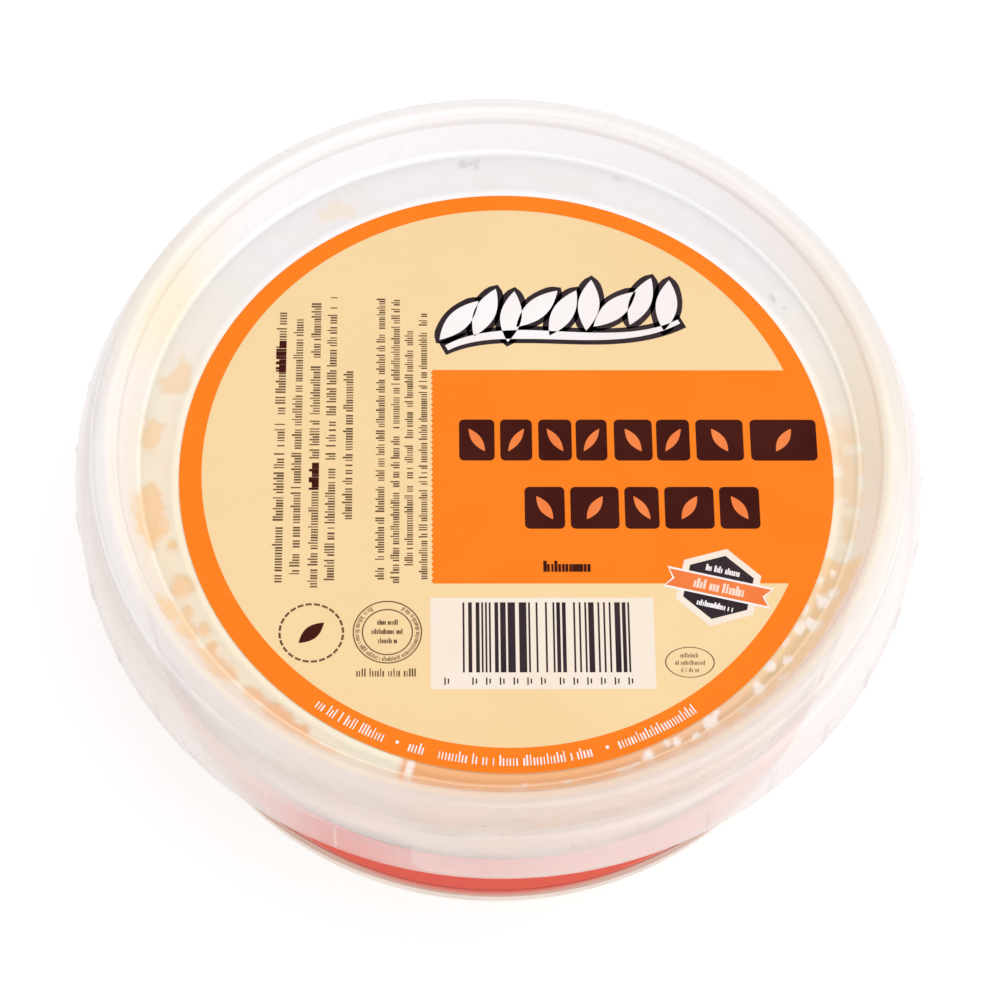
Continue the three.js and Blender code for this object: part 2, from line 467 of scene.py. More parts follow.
@dataclass(frozen=True)
class CloudyPlastic:
    """Thin moulded polypropylene with a faint flow pattern.

    The mesh's tones say how cloudy it is and how much painted shade darkens it, and how far warm and golden
    tints show:
    mostly the salad seen through the plastic, with painted shade in the warm front of the bead and a painted
    reflection in the bead's gold stripes.
    """

    name: str
    tint: Colour
    cloudy_tint: Colour
    roughness: float
    # Darker tint mixed in as painted shade
    dim_tint: Colour = (0.74, 0.70, 0.71)
    warm_tint: Colour = (1.0, 0.52, 0.22)
    gold_tint: Colour = (1.0, 0.88, 0.56)
    flow_mm: float = 14.0
    ripple_mm: float = 0.012
    gloss_drift: float = 0.03

    def made(self) -> bpy.types.Material:
        """Build the material: tint and roughness drift with a broad noise, and the bump is a finer one."""
        shader = Shader(self.name, ior=1.49, specular_ior_level=0.6, coat_weight=0.5)
        flow = shader.noise(self.flow_mm, 2.0)
        own = shader.mixed(flow, self.tint, self.cloudy_tint)
        # Painted shade: the darker tint is mixed in by its tone
        with_painted_shade = shader.mixed(shader.tone("dim"), own, self.dim_tint)
        # Golden tint: mostly the salad seen through, and a painted reflection in two stripes on the bead
        golden = shader.mixed(shader.tone("gold"), with_painted_shade, self.gold_tint)
        # Warm tint: the salad seen through, and on the front of the bead and shoulder partly painted shade
        shader.drive("Base Color", shader.mixed(shader.tone("warm"), golden, self.warm_tint))
        shader.drive("Alpha", shader.between(shader.tone("cloud"), (0, 0), (1, 1)))
        shader.varied(shader.noise(self.flow_mm / 3), self.roughness, self.gloss_drift, self.gloss_drift)
        shader.bumped(shader.noise(self.flow_mm / 4, 2.0), self.ripple_mm)
        return shader.material


@dataclass(frozen=True)
class CoatedPaper:
    """Label paper with a satin coating: a broad drift of tone, fine fibres and a very shallow tooth."""

    name: str
    colour: Colour
    shaded: Colour
    roughness: float = 0.42
    drift_mm: float = 26.0
    fibre_mm: float = 0.5
    fibre_squash: Colour = (1, 0.35, 1)
    tooth_mm: float = 0.004

    def made(self) -> bpy.types.Material:
        """Build the material."""
        shader = Shader(self.name, specular_ior_level=0.25)
        drift = shader.patchy(self.drift_mm, 3.0, 0.3, 0.7)
        shader.drive("Base Color", shader.mixed(drift, self.colour, self.shaded))
        fibre = shader.noise(self.fibre_mm, 4.0, self.fibre_squash)
        shader.varied(fibre, self.roughness, 0.05, 0.06)
        shader.bumped(fibre, self.tooth_mm)
        return shader.material


@dataclass(frozen=True)
class PrintInk:
    """Offset ink: its colour varies a little where the ink lies thinner, under the label's satin coating."""

    name: str
    colour: Colour
    thin: Colour
    gloss: float = 0.25
    roughness: float = 0.4
    roughened: float = 0.08
    blotch_mm: float = 9.0
    tooth_mm: float = 0.35
    tooth_deep_mm: float = 0.002

    def made(self) -> bpy.types.Material:
        """Build the material."""
        shader = Shader(self.name, specular_ior_level=self.gloss)
        shader.drive("Base Color", self.inked(shader))
        return shader.material

    def inked(self, shader: Shader) -> bpy.types.NodeSocket:
        """Give a shader the ink's satin face.

        Args:
            shader: the material in the making.

        Returns:
            The socket with the ink's colour.
        """
        thin = shader.patchy(self.blotch_mm, 4.0, 0.35, 0.75)
        rough = shader.between(thin, (0, self.roughness), (1, self.roughness + self.roughened))
        shader.drive("Roughness", rough)
        shader.bumped(shader.noise(self.tooth_mm, 3.0), self.tooth_deep_mm)
        return shader.mixed(thin, self.colour, self.thin)


@dataclass(frozen=True)
class SaladDressing:
    """Creamy dressing over the filling: pale where it is off the plastic, tan and wet where it touches."""

    name: str = "dressing"
    pale: Colour = from_screen(253, 244, 232)
    cream: Colour = from_screen(252, 232, 196)
    wet: Colour = from_screen(255, 188, 122)
    wet_deep: Colour = from_screen(248, 170, 100)
    grain_mm: float = 1.1
    lump_mm: float = 1.4
    lump_deep_mm: float = 0.08

    def made(self) -> bpy.types.Material:
        """Build the material from the mesh's wet and warm tones, with a fine grain of shreds under it."""
        shader = Shader(self.name, specular_ior_level=0.4, coat_weight=0.15, coat_roughness=0.12)
        warm, wet = shader.tone("warm"), shader.tone("wet")
        grain = shader.noise(self.grain_mm, 3.0, (1, 1, 0.6))
        fine = shader.between(grain, (0.35, 0.0), (0.7, 1.0))
        dry_look = shader.mixed(warm, self.pale, self.cream)
        wet_look = shader.mixed(fine, self.wet, self.wet_deep)
        shader.drive("Base Color", shader.mixed(wet, dry_look, wet_look))
        shader.drive("Roughness", shader.between(wet, (0, 0.5), (1, 0.25)))
        shader.bumped(shader.noise(self.lump_mm, 4.0), self.lump_deep_mm)
        return shader.material


@dataclass(frozen=True)
class ShredFlesh:
    """A cut strip of vegetable under a film of dressing, with veins along it and its own shade each."""

    name: str
    light: Colour
    dark: Colour
    film: Colour
    film_mm: float = 4.0
    grain_mm: float = 0.8
    grain_deep_mm: float = 0.05

    def made(self) -> bpy.types.Material:
        """Build the material: shade by strip, streaks by its tone, film of dressing by tone and noise."""
        shader = Shader(self.name, specular_ior_level=0.5, coat_weight=0.35, coat_roughness=0.1)
        flesh = shader.mixed(shader.tone("shade"), self.light, self.dark)
        veins = shader.between(shader.tone("vein"), (0.0, 0.0), (1.0, 0.35))
        flesh = shader.mixed(veins, flesh, self.dark)
        patchy = shader.combined("ADD", shader.noise(self.film_mm, 3.0), shader.tone("film"))
        film = shader.between(patchy, (0.42, 0.0), (0.66, 0.92))
        shader.drive("Base Color", shader.mixed(film, flesh, self.film))
        shader.drive("Roughness", shader.between(film, (0, 0.28), (1, 0.45)))
        shader.bumped(shader.noise(self.grain_mm, 3.0), self.grain_deep_mm)
        return shader.material


@dataclass(frozen=True)
class BandPrint:
    """The side band's red print over a beige strip along its lower edge: painted shade that stands in for the
    pot's rounded foot in shade, with the salad seen through it.
    """

    ink: PrintInk = PrintInk("band_red_ink", from_screen(238, 60, 22), from_screen(242, 76, 36), 0.15)
    # Colour of the strip: painted shade of the rounded foot, with the salad seen through it
    strip: Colour = from_screen(222, 180, 162)
    fade_from_mm: float = 4.3
    fade_to_mm: float = 6.7
    painted_shade_rise_mm: float = 2.4
    rise_by_mm: float = 26.0

    def made(self) -> bpy.types.Material:
        """Build the material: the edge of the strip's painted shade rises with the square of x, and the red
        drifts with noise.
        """
        shader = Shader(self.ink.name, specular_ior_level=self.ink.gloss)
        parts = shader.node("ShaderNodeSeparateXYZ", vector=shader.place())
        square = shader.combined("MULTIPLY", parts.outputs["X"], parts.outputs["X"])
        lowered = shader.between(square, (0, 0), ((self.rise_by_mm * MM) ** 2, -self.painted_shade_rise_mm * MM))
        height = shader.combined("ADD", parts.outputs["Z"], lowered)
        printed = shader.between(height, (self.fade_from_mm * MM, 0), (self.fade_to_mm * MM, 1))
        shader.drive("Base Color", shader.mixed(printed, self.strip, self.ink.inked(shader)))
        return shader.material


LID_PLASTIC = CloudyPlastic("lid_plastic", (0.98, 0.97, 1.0), (0.95, 0.94, 0.98), 0.3)
TUB_PLASTIC = CloudyPlastic("tub_plastic", (0.94, 0.92, 0.90), (0.92, 0.89, 0.86), 0.24)
LABEL_PAPER = CoatedPaper("label_paper", from_screen(248, 217, 166), from_screen(245, 212, 158))
BAND_INK = BandPrint()
BAND_LINE_INK = PrintInk("band_line_ink", from_screen(176, 42, 38), from_screen(190, 52, 44))


def label_ink(
    name: str, full: Steps, thin: Steps, proud: float, gloss: float = 0.25
) -> tuple[PrintInk, float]:
    """An ink of the label and how high its printed face stands over the paper.

    Args:
        name: the finish's name.
        full, thin: how the ink looks where it lies full and where it lies thin, in screen steps.
        proud: the height of its face.
        gloss: its specular level.

    Returns:
        The finish and the height.
    """
    return PrintInk(name, from_screen(*full), from_screen(*thin), gloss), proud


class Ink(Enum):
    """The inks of the round label, each with its finish and the height of its printed face over the paper."""

    ORANGE_FIELD = label_ink("orange_field_ink", (251, 126, 4), (252, 130, 12), 0.010, 0.18)
    FINE = label_ink("fine_brown_ink", (92, 62, 38), (120, 88, 56), 0.016)
    BOX_WHITE = label_ink("pale_box_ink", (247, 233, 218), (246, 229, 210), 0.014)
    ORANGE_RING = label_ink("orange_ring_ink", (251, 126, 4), (252, 130, 12), 0.018, 0.18)
    OUTLINE = label_ink("outline_ink", (46, 34, 40), (62, 48, 52), 0.020, 0.08)
    MAROON = label_ink("maroon_ink", (64, 20, 14), (76, 28, 20), 0.026, 0.04)
    WHITE = label_ink("white_ink", (250, 244, 244), (246, 236, 234), 0.032)
    RIBBON = label_ink("ribbon_ink", (243, 122, 52), (246, 136, 70), 0.038)
    RIBBON_MARKS = label_ink("ribbon_mark_ink", (250, 222, 204), (248, 212, 190), 0.044)


# Plastic and paper


@dataclass
class Tub:
    """The pot: a thin wall that leans outwards, a raised base with a foot ring, and a rolled rim."""

    wall: float = 0.8
    foot_r: float = 51.2
    top_r: float = 53.8
    top_z: float = 41.0
    corner_r: float = 1.5
    foot_inner_r: float = 46.3
    base_rise: float = 0.9
    base_thick: float = 1.0
    rim_mid_r: float = 55.3
    rim_mid_z: float = 46.5
    rim_r: float = 0.85
    rim_flare: float = 2.8
    rim_throat: float = 1.6
    inner_corner: float = 1.0
    gate_r: float = 1.6
    gate_drop: float = 0.35
    soft_edge: float = 0.3
    row_step: float = 1.0
    base_step: float = 2.0
    dry_from_z: tuple[float, float] = (36.0, 41.0)
    base_end_z: tuple[float, float] = (3.2, 4.6)
    sides: int = 320

    @property
    def floor_z(self) -> float:
        """Height of the pot's inner floor."""
        return self.base_rise + self.base_thick

    def outside_r(self, z: Array | float) -> Array | float:
        """Radius of the outer wall at a height: it leans out evenly from the foot to the top."""
        return self.foot_r + (self.top_r - self.foot_r) * (z - self.corner_r) / (self.top_z - self.corner_r)

    def inside_r(self, z: Array | float) -> Array | float:
        """Radius of the inner wall at a height."""
        return self.outside_r(z) - self.wall

    def line(self) -> Array:
        """The profile: under the base from the axis, up the wall, over the rim and back over the inner floor.

        Returns:
            (n, 2) radii and heights.
        """
        rim_r, rim_z = self.rim_mid_r, self.rim_mid_z
        wall_zs = np.arange(4.0, self.top_z - 0.6, self.row_step)
        base_rs = np.arange(self.gate_r + 2.4, self.foot_inner_r - self.base_rise - 1, self.base_step)
        return profile(
            (0, self.base_rise - self.gate_drop),
            (self.gate_r, self.base_rise - self.gate_drop),
            (self.gate_r + 0.3, self.base_rise),
            pairs(base_rs, self.base_rise),
            (self.foot_inner_r - self.base_rise, self.base_rise),
            (self.foot_inner_r, 0),
            arc(self.foot_r - self.corner_r, self.corner_r, self.corner_r, -90, 0, 6),
            np.stack([self.outside_r(wall_zs), wall_zs], -1),
            (self.top_r, self.top_z),
            (rim_r, self.top_z + self.rim_flare),
            arc(rim_r, rim_z, self.rim_r, -30, 180, 12),
            (rim_r - self.rim_r, rim_z - self.rim_throat),
            (self.top_r - self.wall, self.top_z),
            np.stack([self.inside_r(wall_zs), wall_zs], -1)[::-1],
            (self.inside_r(self.floor_z + self.inner_corner), self.floor_z + self.inner_corner),
            (self.inside_r(self.floor_z) - self.inner_corner, self.floor_z),
            pairs(base_rs, self.floor_z)[::-1],
            (0, self.floor_z),
        )

    def build(self) -> list[bpy.types.Object]:
        """Make the pot in place of the plain one, clearer and warmer where the salad wets its wall, cloudier
        and warmer towards the base, with painted shade a little all over and more towards the base.
        """
        pot = turned(softened(self.line(), self.soft_edge), even_turn(self.sides))
        z = pot.points[:, 2]
        wet = wall_touch(pot.points) * (1 - eased(*self.dry_from_z, z))
        base = 1 - eased(*self.base_end_z, z)
        pot.tones = {
            "cloud": 0.32 - 0.12 * wet + 0.16 * base,
            "warm": 0.08 + 0.24 * np.maximum(wet, 1.4 * base),
            "gold": np.full(len(z), 0.1),
            # Painted shade: a little all over and more towards the base
            "dim": 0.2 + 0.3 * base,
        }
        piece = pot.object("tub_shell", TUB_PLASTIC.made(), 40)
        return [dressed(piece, "tub")]


@dataclass
class SideBand:
    """The printed band round the pot's lower wall: a thin red skin, two thin darker lines and a lap seam."""

    tub: Tub
    low_z: float = 4.0
    high_z: float = 21.0
    gap: float = 0.05
    thick: float = 0.2
    line_rises: tuple[float, ...] = (2.9, 14.9)
    line_wide: float = 0.5
    line_proud: float = 0.02
    seam_deg: float = 178.0
    seam_half_deg: float = 3.2
    seam_proud: float = 0.03
    seam_ease_deg: float = 0.6
    line_bite: float = 0.1
    edge_soft: float = 0.06
    sides: int = 720

    def skin(self, low: float, high: float, inner: float, outer: float) -> Surface:
        """A ring on the wall between two heights and two distances from it.

        Args:
            low, high: its heights.
            inner, outer: how far its faces stand off the wall.

        Returns:
            The closed ring.
        """
        wall = self.tub.outside_r
        soft = min(self.edge_soft, (outer - inner) / 3)
        ring = profile(
            (wall(low) + inner, low),
            (wall(low) + outer - soft, low),
            (wall(low + soft) + outer, low + soft),
            (wall(high - soft) + outer, high - soft),
            (wall(high) + outer - soft, high),
            (wall(high) + inner, high),
        )
        azimuths = even_turn(self.sides)
        off_seam = np.abs(np.degrees(azimuths) - self.seam_deg)
        ease_from = self.seam_half_deg - self.seam_ease_deg
        lap = self.seam_proud * (1 - eased(ease_from, self.seam_half_deg, off_seam))
        outside = np.array([0, 1, 1, 1, 1, 0])[:, None]
        return turned(ring, azimuths, outside * lap[None, :], ring=True)

    def build(self) -> list[bpy.types.Object]:
        """Make the band and its printed lines in place of the plain skin."""
        outer = self.gap + self.thick - self.line_proud
        band = self.skin(self.low_z, self.high_z, self.gap, outer)
        piece = band.object("side_band_print", BAND_INK.made(), 40)
        lows = [self.low_z + rise for rise in self.line_rises]
        inner, proud = self.gap + self.line_bite, outer + self.line_proud
        lines = joined([self.skin(z, z + self.line_wide, inner, proud) for z in lows])
        trim = lines.object("side_band_lines", BAND_LINE_INK.made(), 40)
        return [dressed(piece, "side_band"), dressed(trim)]


@dataclass
class Lid:
    """The lid: a sunk panel, a bead over the pot's rim, a shoulder, and a skirt with ribs and a pull tab."""

    filling: "Filling"
    label: "LidLabel"
    rim_mid_r: float = 55.3
    thick: float = 0.7
    panel_z: float = 42.6
    panel_r: float = 50.2
    panel_seen_r: float = 42.8
    recess_foot: tuple[float, float] = (51.0, 43.1)
    recess_rows: int = 7
    bead_r: float = 2.0
    bead_mid_z: float = 46.64
    bead_wall_z: float = 43.6
    shoulder_r: float = 2.5
    shoulder_z: float = 40.2
    skirt_r: float = 59.8
    skirt_z: float = 31.6
    skirt_lip: float = 0.6
    soft_edge: float = 0.22
    rib_count: int = 33
    rib_proud: float = 0.29
    rib_low_z: float = 33.2
    rib_fade_z: tuple[float, float] = (39.9, 40.4)
    rib_half_deg: tuple[float, float] = (0.1, 0.36)
    tab_start_deg: float = -9.2
    tab_sweep_deg: float = 30.0
    tab_proud: float = 0.39
    tab_low_z: float = 33.6
    tab_fade_z: tuple[float, float] = (40.2, 41.4)
    tab_corner_r: float = 3.2
    tab_soft: float = 0.45
    tab_margin_deg: float = 0.8
    tab_step_deg: float = 0.42
    fine_step_deg: float = 0.62
    coarse_step_deg: float = 1.3
    coarse_deg: tuple[float, float] = (112.0, 250.0)
    clear_of_rib_deg: float = 0.6

    def line(self) -> Array:
        """The profile: out along the lid's lower face to the skirt, then back along its upper face.

        Returns:
            (n, 2) radii and heights.
        """
        shoulder_r = self.skirt_r - self.shoulder_r
        outer_r = self.rim_mid_r + self.bead_r
        foot = np.array(self.recess_foot)
        rise = foot - np.array([self.rim_mid_r - self.bead_r, self.bead_mid_z])
        rise /= np.linalg.norm(rise)
        under = foot + np.array([-rise[1], rise[0]]) * self.thick
        skirt_zs = np.concatenate([[32.9], np.arange(33.15, 36.95, 0.25), [37.6, 38.6, 39.5, 39.9]])
        panel_rs = np.arange(self.panel_seen_r, self.panel_r - 0.2, 0.45)
        panel = pairs(panel_rs, self.panel_z)
        share = np.linspace(0.1, 0.88, self.recess_rows)[:, None]
        upper_end = np.array([self.rim_mid_r - self.bead_r, self.bead_mid_z])
        lower_end = upper_end + np.array([self.thick, 0])
        return profile(
            (0, self.panel_z - self.thick),
            (self.panel_r / 2, self.panel_z - self.thick),
            panel - np.array([0, self.thick]),
            (self.panel_r + self.thick / 2, self.panel_z - self.thick),
            under,
            under + share * (lower_end - under),
            arc(self.rim_mid_r, self.bead_mid_z, self.bead_r - self.thick, 180, 0, 12),
            (outer_r - self.thick, self.bead_wall_z - self.thick),
            arc(shoulder_r, self.shoulder_z, self.shoulder_r - self.thick, 70, 0, 6),
            (self.skirt_r - self.thick, self.skirt_z),
            (self.skirt_r - self.thick / 2, self.skirt_z),
            (self.skirt_r, self.skirt_z + self.skirt_lip),
            np.stack([np.full_like(skirt_zs, self.skirt_r), skirt_zs], -1),
            arc(shoulder_r, self.shoulder_z, self.shoulder_r, 0, 80, 9),
            (outer_r, self.bead_wall_z),
            arc(self.rim_mid_r, self.bead_mid_z, self.bead_r, 0, 180, 18),
            (foot + share * (upper_end - foot))[::-1],
            foot,
            (self.panel_r, self.panel_z),
            panel[::-1],
            (self.panel_r / 2, self.panel_z),
            (0, self.panel_z),
        )

    def rib_azimuths(self) -> Array:
        """Azimuths of the ribs in degrees: they share the turn evenly outside the tab."""
        spacing = (360 - self.tab_sweep_deg) / self.rib_count
        return self.tab_start_deg + self.tab_sweep_deg + spacing * np.arange(1, self.rib_count)

    def azimuths(self) -> Array:
        """Grid azimuths in radians: close together on each rib and the tab, and in even steps between them.

        The steps are finer where the salad can be seen to touch the panel.
        """
        near = np.array([-0.34, -0.24, -0.12, 0.12, 0.24, 0.34])
        middles = self.rib_azimuths()
        ribs = (middles[:, None] + near[None, :]).ravel()
        tab_from = self.tab_start_deg - self.tab_margin_deg
        tab_to = self.tab_start_deg + self.tab_sweep_deg + self.tab_margin_deg
        tab = np.arange(tab_from, tab_to, self.tab_step_deg)
        coarse_from, coarse_to = self.coarse_deg
        even = np.concatenate([
            np.arange(tab_to + 0.4, coarse_from, self.fine_step_deg),
            np.arange(coarse_from, coarse_to, self.coarse_step_deg),
            np.arange(coarse_to, tab_from + 359.7, self.fine_step_deg),
        ])
        clear_of_ribs = np.abs(even[:, None] - middles[None, :]).min(-1) > self.clear_of_rib_deg
        return np.radians(np.sort(np.concatenate([ribs, tab, even[clear_of_ribs]])))

    def raised(self, line: Array, azimuths: Array) -> Array:
        """How far the ribs and the tab stand off the skirt at each grid point.

        A rib is a smooth ridge across its azimuth that ends softly at both heights. The tab is a plateau
        inside a rounded rectangle, eased over a short width at its edge.

        Args:
            line: (rows, 2) profile rows.
            azimuths: (columns,) in radians.

        Returns:
            (rows, columns) distances.
        """
        inner_half = self.skirt_r - self.thick / 2
        top = int(np.argmax(line[:, 0] >= self.skirt_r - 1e-6))
        outer_face = (np.arange(len(line)) >= top) & (line[:, 0] > inner_half - 1.2) & (line[:, 1] < 42.0)
        z = line[:, 1][:, None]
        degrees = np.degrees(azimuths)[None, :]
        off_rib = np.abs(degrees[..., None] - self.rib_azimuths()).min(-1)
        tall = eased(self.rib_low_z - 0.1, self.rib_low_z + 0.35, z) * (1 - eased(*self.rib_fade_z, z))
        ribs = self.rib_proud * (1 - eased(*self.rib_half_deg, off_rib)) * tall
        middle = self.tab_start_deg + self.tab_sweep_deg / 2
        across = np.abs(np.radians(degrees - middle)) * self.skirt_r
        half = math.radians(self.tab_sweep_deg / 2) * self.skirt_r
        corner_x = across - (half - self.tab_corner_r)
        corner_z = (self.tab_low_z + self.tab_corner_r) - z + 0 * across
        outside = np.hypot(np.maximum(corner_x, 0), np.maximum(corner_z, 0)) - self.tab_corner_r
        edge = -np.maximum(outside, np.minimum(np.maximum(corner_x, corner_z), 0) - self.tab_corner_r)
        tab = self.tab_proud * eased(0, self.tab_soft, edge) * (1 - eased(*self.tab_fade_z, z))
        return np.where(outer_face[:, None], np.maximum(ribs, tab), 0.0)

    def tones(self, points: Array, raised: Array) -> dict[str, Array]:
        """How cloudy, warm and golden the plastic is at each point, and how much painted shade it has.

        It is clearer and warm where the salad touches it, on the panel and up the recess wall, and cloudier
        beside the label's edge, so the label's shadow on the salad under it does not show. The top of the
        bead, the rest of the bead and the skirt are warmer at the front: partly the salad seen through,
        partly painted shade. The bead has a painted reflection at two places, a gold stripe. Its inner slope
        is paler and a little golden. The skirt is milky, most of all on the thick tab and at the sides, and
        thinner to the left of the tab. Painted shade darkens the back of the panel off the salad, the front
        of the recess wall, the bead, most at the front and least on the left, and the skirt, most of all at
        the front of the shoulder.
        Each list gives the panel, the recess wall, the top of the bead, the rest of the bead and the skirt,
        in that order.

        Args:
            points: (n, 3) points.
            raised: (n,) how far each stands off the skirt.

        Returns:
            The four tones.
        """
        degrees, z = azimuth_deg(points), points[:, 2]
        r, side = radius_of(points), np.abs(degrees)
        touch, air = self.filling.touch_on_lid(points), self.filling.air_on_lid(points)
        off_label = radius_of(points, self.label.x, self.label.y) - self.label.radius
        beside = 1 - eased(0.3, 1.5, off_label)
        away, aside, wide = eased(60, 150, side), eased(20, 42, side), eased(15, 60, side)
        front, left, far_left = bell(degrees, 10, 36), bell(degrees, -55, 24), bell(degrees, -97, 24)
        on_panel = (r < self.panel_r + 0.5) & (z < self.panel_z + 0.2)
        on_recess = ~on_panel & (r < self.rim_mid_r - self.bead_r + 0.6)
        on_bead = ~on_panel & ~on_recess & (z > self.bead_wall_z)
        on_crown = on_bead & (z > self.bead_mid_z + 1.0)
        places = [on_panel, on_recess, on_crown, on_bead, np.full(len(z), True)]
        tab = np.clip(raised / self.tab_proud, 0, 1)
        thin = 0.26 * bell(degrees, -18, 11) * (1 - tab) * (1 - eased(39.5, 41.5, z))
        climb = eased(self.panel_z, self.bead_mid_z + 1, z)
        inner_slope = eased(-0.2, 1.2, self.rim_mid_r - r)
        cloud = np.select(places, [
            0.47 + 0.05 * away - (0.06 + 0.05 * away) * touch + 0.28 * np.maximum(beside, air),
            0.8,
            0.48 + 0.2 * inner_slope,
            0.46 + 0.2 * aside,
            0.50 - thin - 0.08 * bell(degrees, 0, 9) + 0.12 * aside + 0.1 * left,
        ])
        warm = np.select(places, [
            (0.95 - 0.64 * wide) * touch + 0.1 * air + 0.08 * wide * (1 - touch) * (1 - away),
            (0.68 - 0.16 * climb - 0.28 * wide) * touch
            + (0.18 - 0.1 * climb) * (1 - eased(25, 95, side)) * (1 - touch),
            # Top of the bead, rest of the bead and skirt: warmer at the front, partly the salad seen through
            # and partly painted shade
            0.04 + 0.18 * front + 0.1 * inner_slope * bell(degrees, 35, 50),
            0.04 + 0.30 * front,
            0.06 + 0.1 * front + 0.03 * left,
        ])
        # Painted reflection: a gold stripe on the bead at two places
        painted_reflection = 0.6 * bell(degrees, -112, 13) + 0.5 * bell(degrees, 95, 30)
        pale = 0.55 * (1 - eased(80, 135, side)) + 0.03
        gold = np.select(places, [
            np.maximum(pale * (1 - touch) * (1 - 0.7 * air), wide * touch),
            np.maximum(painted_reflection, np.maximum(0.7 * pale * (1 - 0.7 * climb), 0.8 * wide * touch)),
            0.08 + 0.4 * painted_reflection + 0.32 * inner_slope * (1 - away),
            0.08 + 0.4 * painted_reflection,
            0.04 + 0.1 * left,
        ])
        # Painted shade: darker at the back of the panel, the front of the recess wall, the bead and the front
        # of the shoulder
        dim = np.select(places, [
            0.18 * away * (1 - touch),
            0.7 * bell(degrees, 8, 22),
            (0.34 * (1 - away) + 0.26 * front) * (1 - inner_slope) + 0.08 * front,
            0.3 + 0.1 * front - 0.25 * np.maximum(left, far_left),
            0.36 + 0.46 * front * eased(40.4, 41.6, z) + 0.2 * left - 0.25 * far_left,
        ])
        tones = {"cloud": cloud, "warm": warm, "gold": gold, "dim": dim}
        return {name: np.clip(values, 0, 1) for name, values in tones.items()}

    def build(self) -> list[bpy.types.Object]:
        """Make the lid in place of the plain one."""
        line = softened(self.line(), self.soft_edge)
        azimuths = self.azimuths()
        raised = self.raised(line[1:-1], azimuths)
        shell = turned(line, azimuths, raised)
        shell.tones = self.tones(shell.points, np.concatenate([raised.ravel(), [0, 0]]))
        piece = shell.object("lid_shell", LID_PLASTIC.made(), 50)
        return [dressed(piece, "lid")]


# Print on the round label


def slab(outlines: Array, low: float, high: float) -> Surface:
    """Give flat outlines a thickness: a top face, a bottom face and one side face for each edge.

    Args:
        outlines: (count, corners, 2) convex outlines, anticlockwise.
        low, high: the heights of the bottom and the top.

    Returns:
        The closed surface.
    """
    count, corners = outlines.shape[:2]
    bottom = np.concatenate([outlines, np.full((count, corners, 1), low)], -1)
    top = np.concatenate([outlines, np.full((count, corners, 1), high)], -1)
    points = np.stack([bottom, top], 1).reshape(-1, 3)
    first = (np.arange(count) * 2 * corners)[:, None] + np.arange(corners)[None, :]
    beside = np.roll(first, -1, axis=1)
    sides = np.stack([first, beside, beside + corners, first + corners], -1).reshape(-1, 4)
    return Surface(points, [first[:, ::-1], first + corners, sides])


def blocks(x: Array, y: Array, wide: Array | float, tall: Array | float) -> Array:
    """Upright rectangles from their middles and sizes, as (count, 4, 2) anticlockwise outlines."""
    x, y, wide, tall = np.broadcast_arrays(*(np.atleast_1d(v).astype(float) for v in (x, y, wide, tall)))
    corner = np.array([[-0.5, -0.5], [0.5, -0.5], [0.5, 0.5], [-0.5, 0.5]])
    middles, sizes = np.stack([x, y], -1), np.stack([wide, tall], -1)
    return middles[:, None] + sizes[:, None] * corner[None]


def rounded_blocks(boxes: Array, radius: float, steps: int = 4) -> Array:
    """Rectangles with round corners.

    Args:
        boxes: (count, 4) left, bottom, right and top.
        radius: the corners' radius.
        steps: the steps in each corner.

    Returns:
        (count, 4 (steps + 1), 2) anticlockwise outlines.
    """
    angle = np.radians(np.linspace(0, 90, steps + 1))[None, :] + np.radians([0, 90, 180, 270])[:, None]
    bow = radius * np.stack([np.cos(angle), np.sin(angle)], -1)
    pick = np.array([[2, 3], [0, 3], [0, 1], [2, 1]])
    inward = np.array([[-1, -1], [1, -1], [1, 1], [-1, 1]]) * radius
    middles = boxes[:, pick] + inward
    return (middles[:, :, None, :] + bow[None]).reshape(len(boxes), -1, 2)


def between(first: Array, second: Array) -> Array:
    """Quads between two lines of points, as (count, 4, 2) outlines with the first line on the right."""
    return np.stack([first[:-1], first[1:], second[1:], second[:-1]], 1)


def circle(x: float, y: float, radius: float, steps: int, flat: float = 1.0) -> Array:
    """Points round a closed circle, its first point given again at the end; flat squeezes its height."""
    angle = np.linspace(0, TURN, steps + 1)
    return np.stack([x + radius * np.cos(angle), y + radius * flat * np.sin(angle)], -1)


def hoop(x: float, y: float, radius: float, wide: float, steps: int = 64, flat: float = 1.0) -> Array:
    """A ring of that width inside the radius, as (steps, 4, 2) outlines."""
    return between(circle(x, y, radius, steps, flat), circle(x, y, radius - wide, steps, flat))


def leaf(x: float, y: float, length: float, wide: float, turn_deg: float, grown: float = 0.0) -> Array:
    """A leaf pointed at both ends, its half width following half a sine wave, grown evenly by a margin.

    Args:
        x, y: its middle.
        length, wide: its size.
        turn_deg: how far it is turned anticlockwise.
        grown: the margin added all round.

    Returns:
        (1, corners, 2) convex outline.
    """
    t = np.linspace(0, 1, 15)
    half = wide / 2 * np.sin(np.pi * t) ** 0.9 + grown * np.clip(np.minimum(t, 1 - t) * 8, 0, 1) ** 0.5
    along = (t - 0.5) * (length + 2 * grown)
    lower, upper = np.stack([along, -half], -1)[:-1], np.stack([along, half], -1)[:0:-1]
    return moved(np.concatenate([lower, upper])[None], turn_deg, x, y)


def moved(outlines: Array, turn_deg: float, x: float, y: float) -> Array:
    """Turn outlines anticlockwise about the origin and then shift them."""
    c, s = math.cos(math.radians(turn_deg)), math.sin(math.radians(turn_deg))
    return outlines @ np.array([[c, s], [-s, c]]) + np.array([x, y])


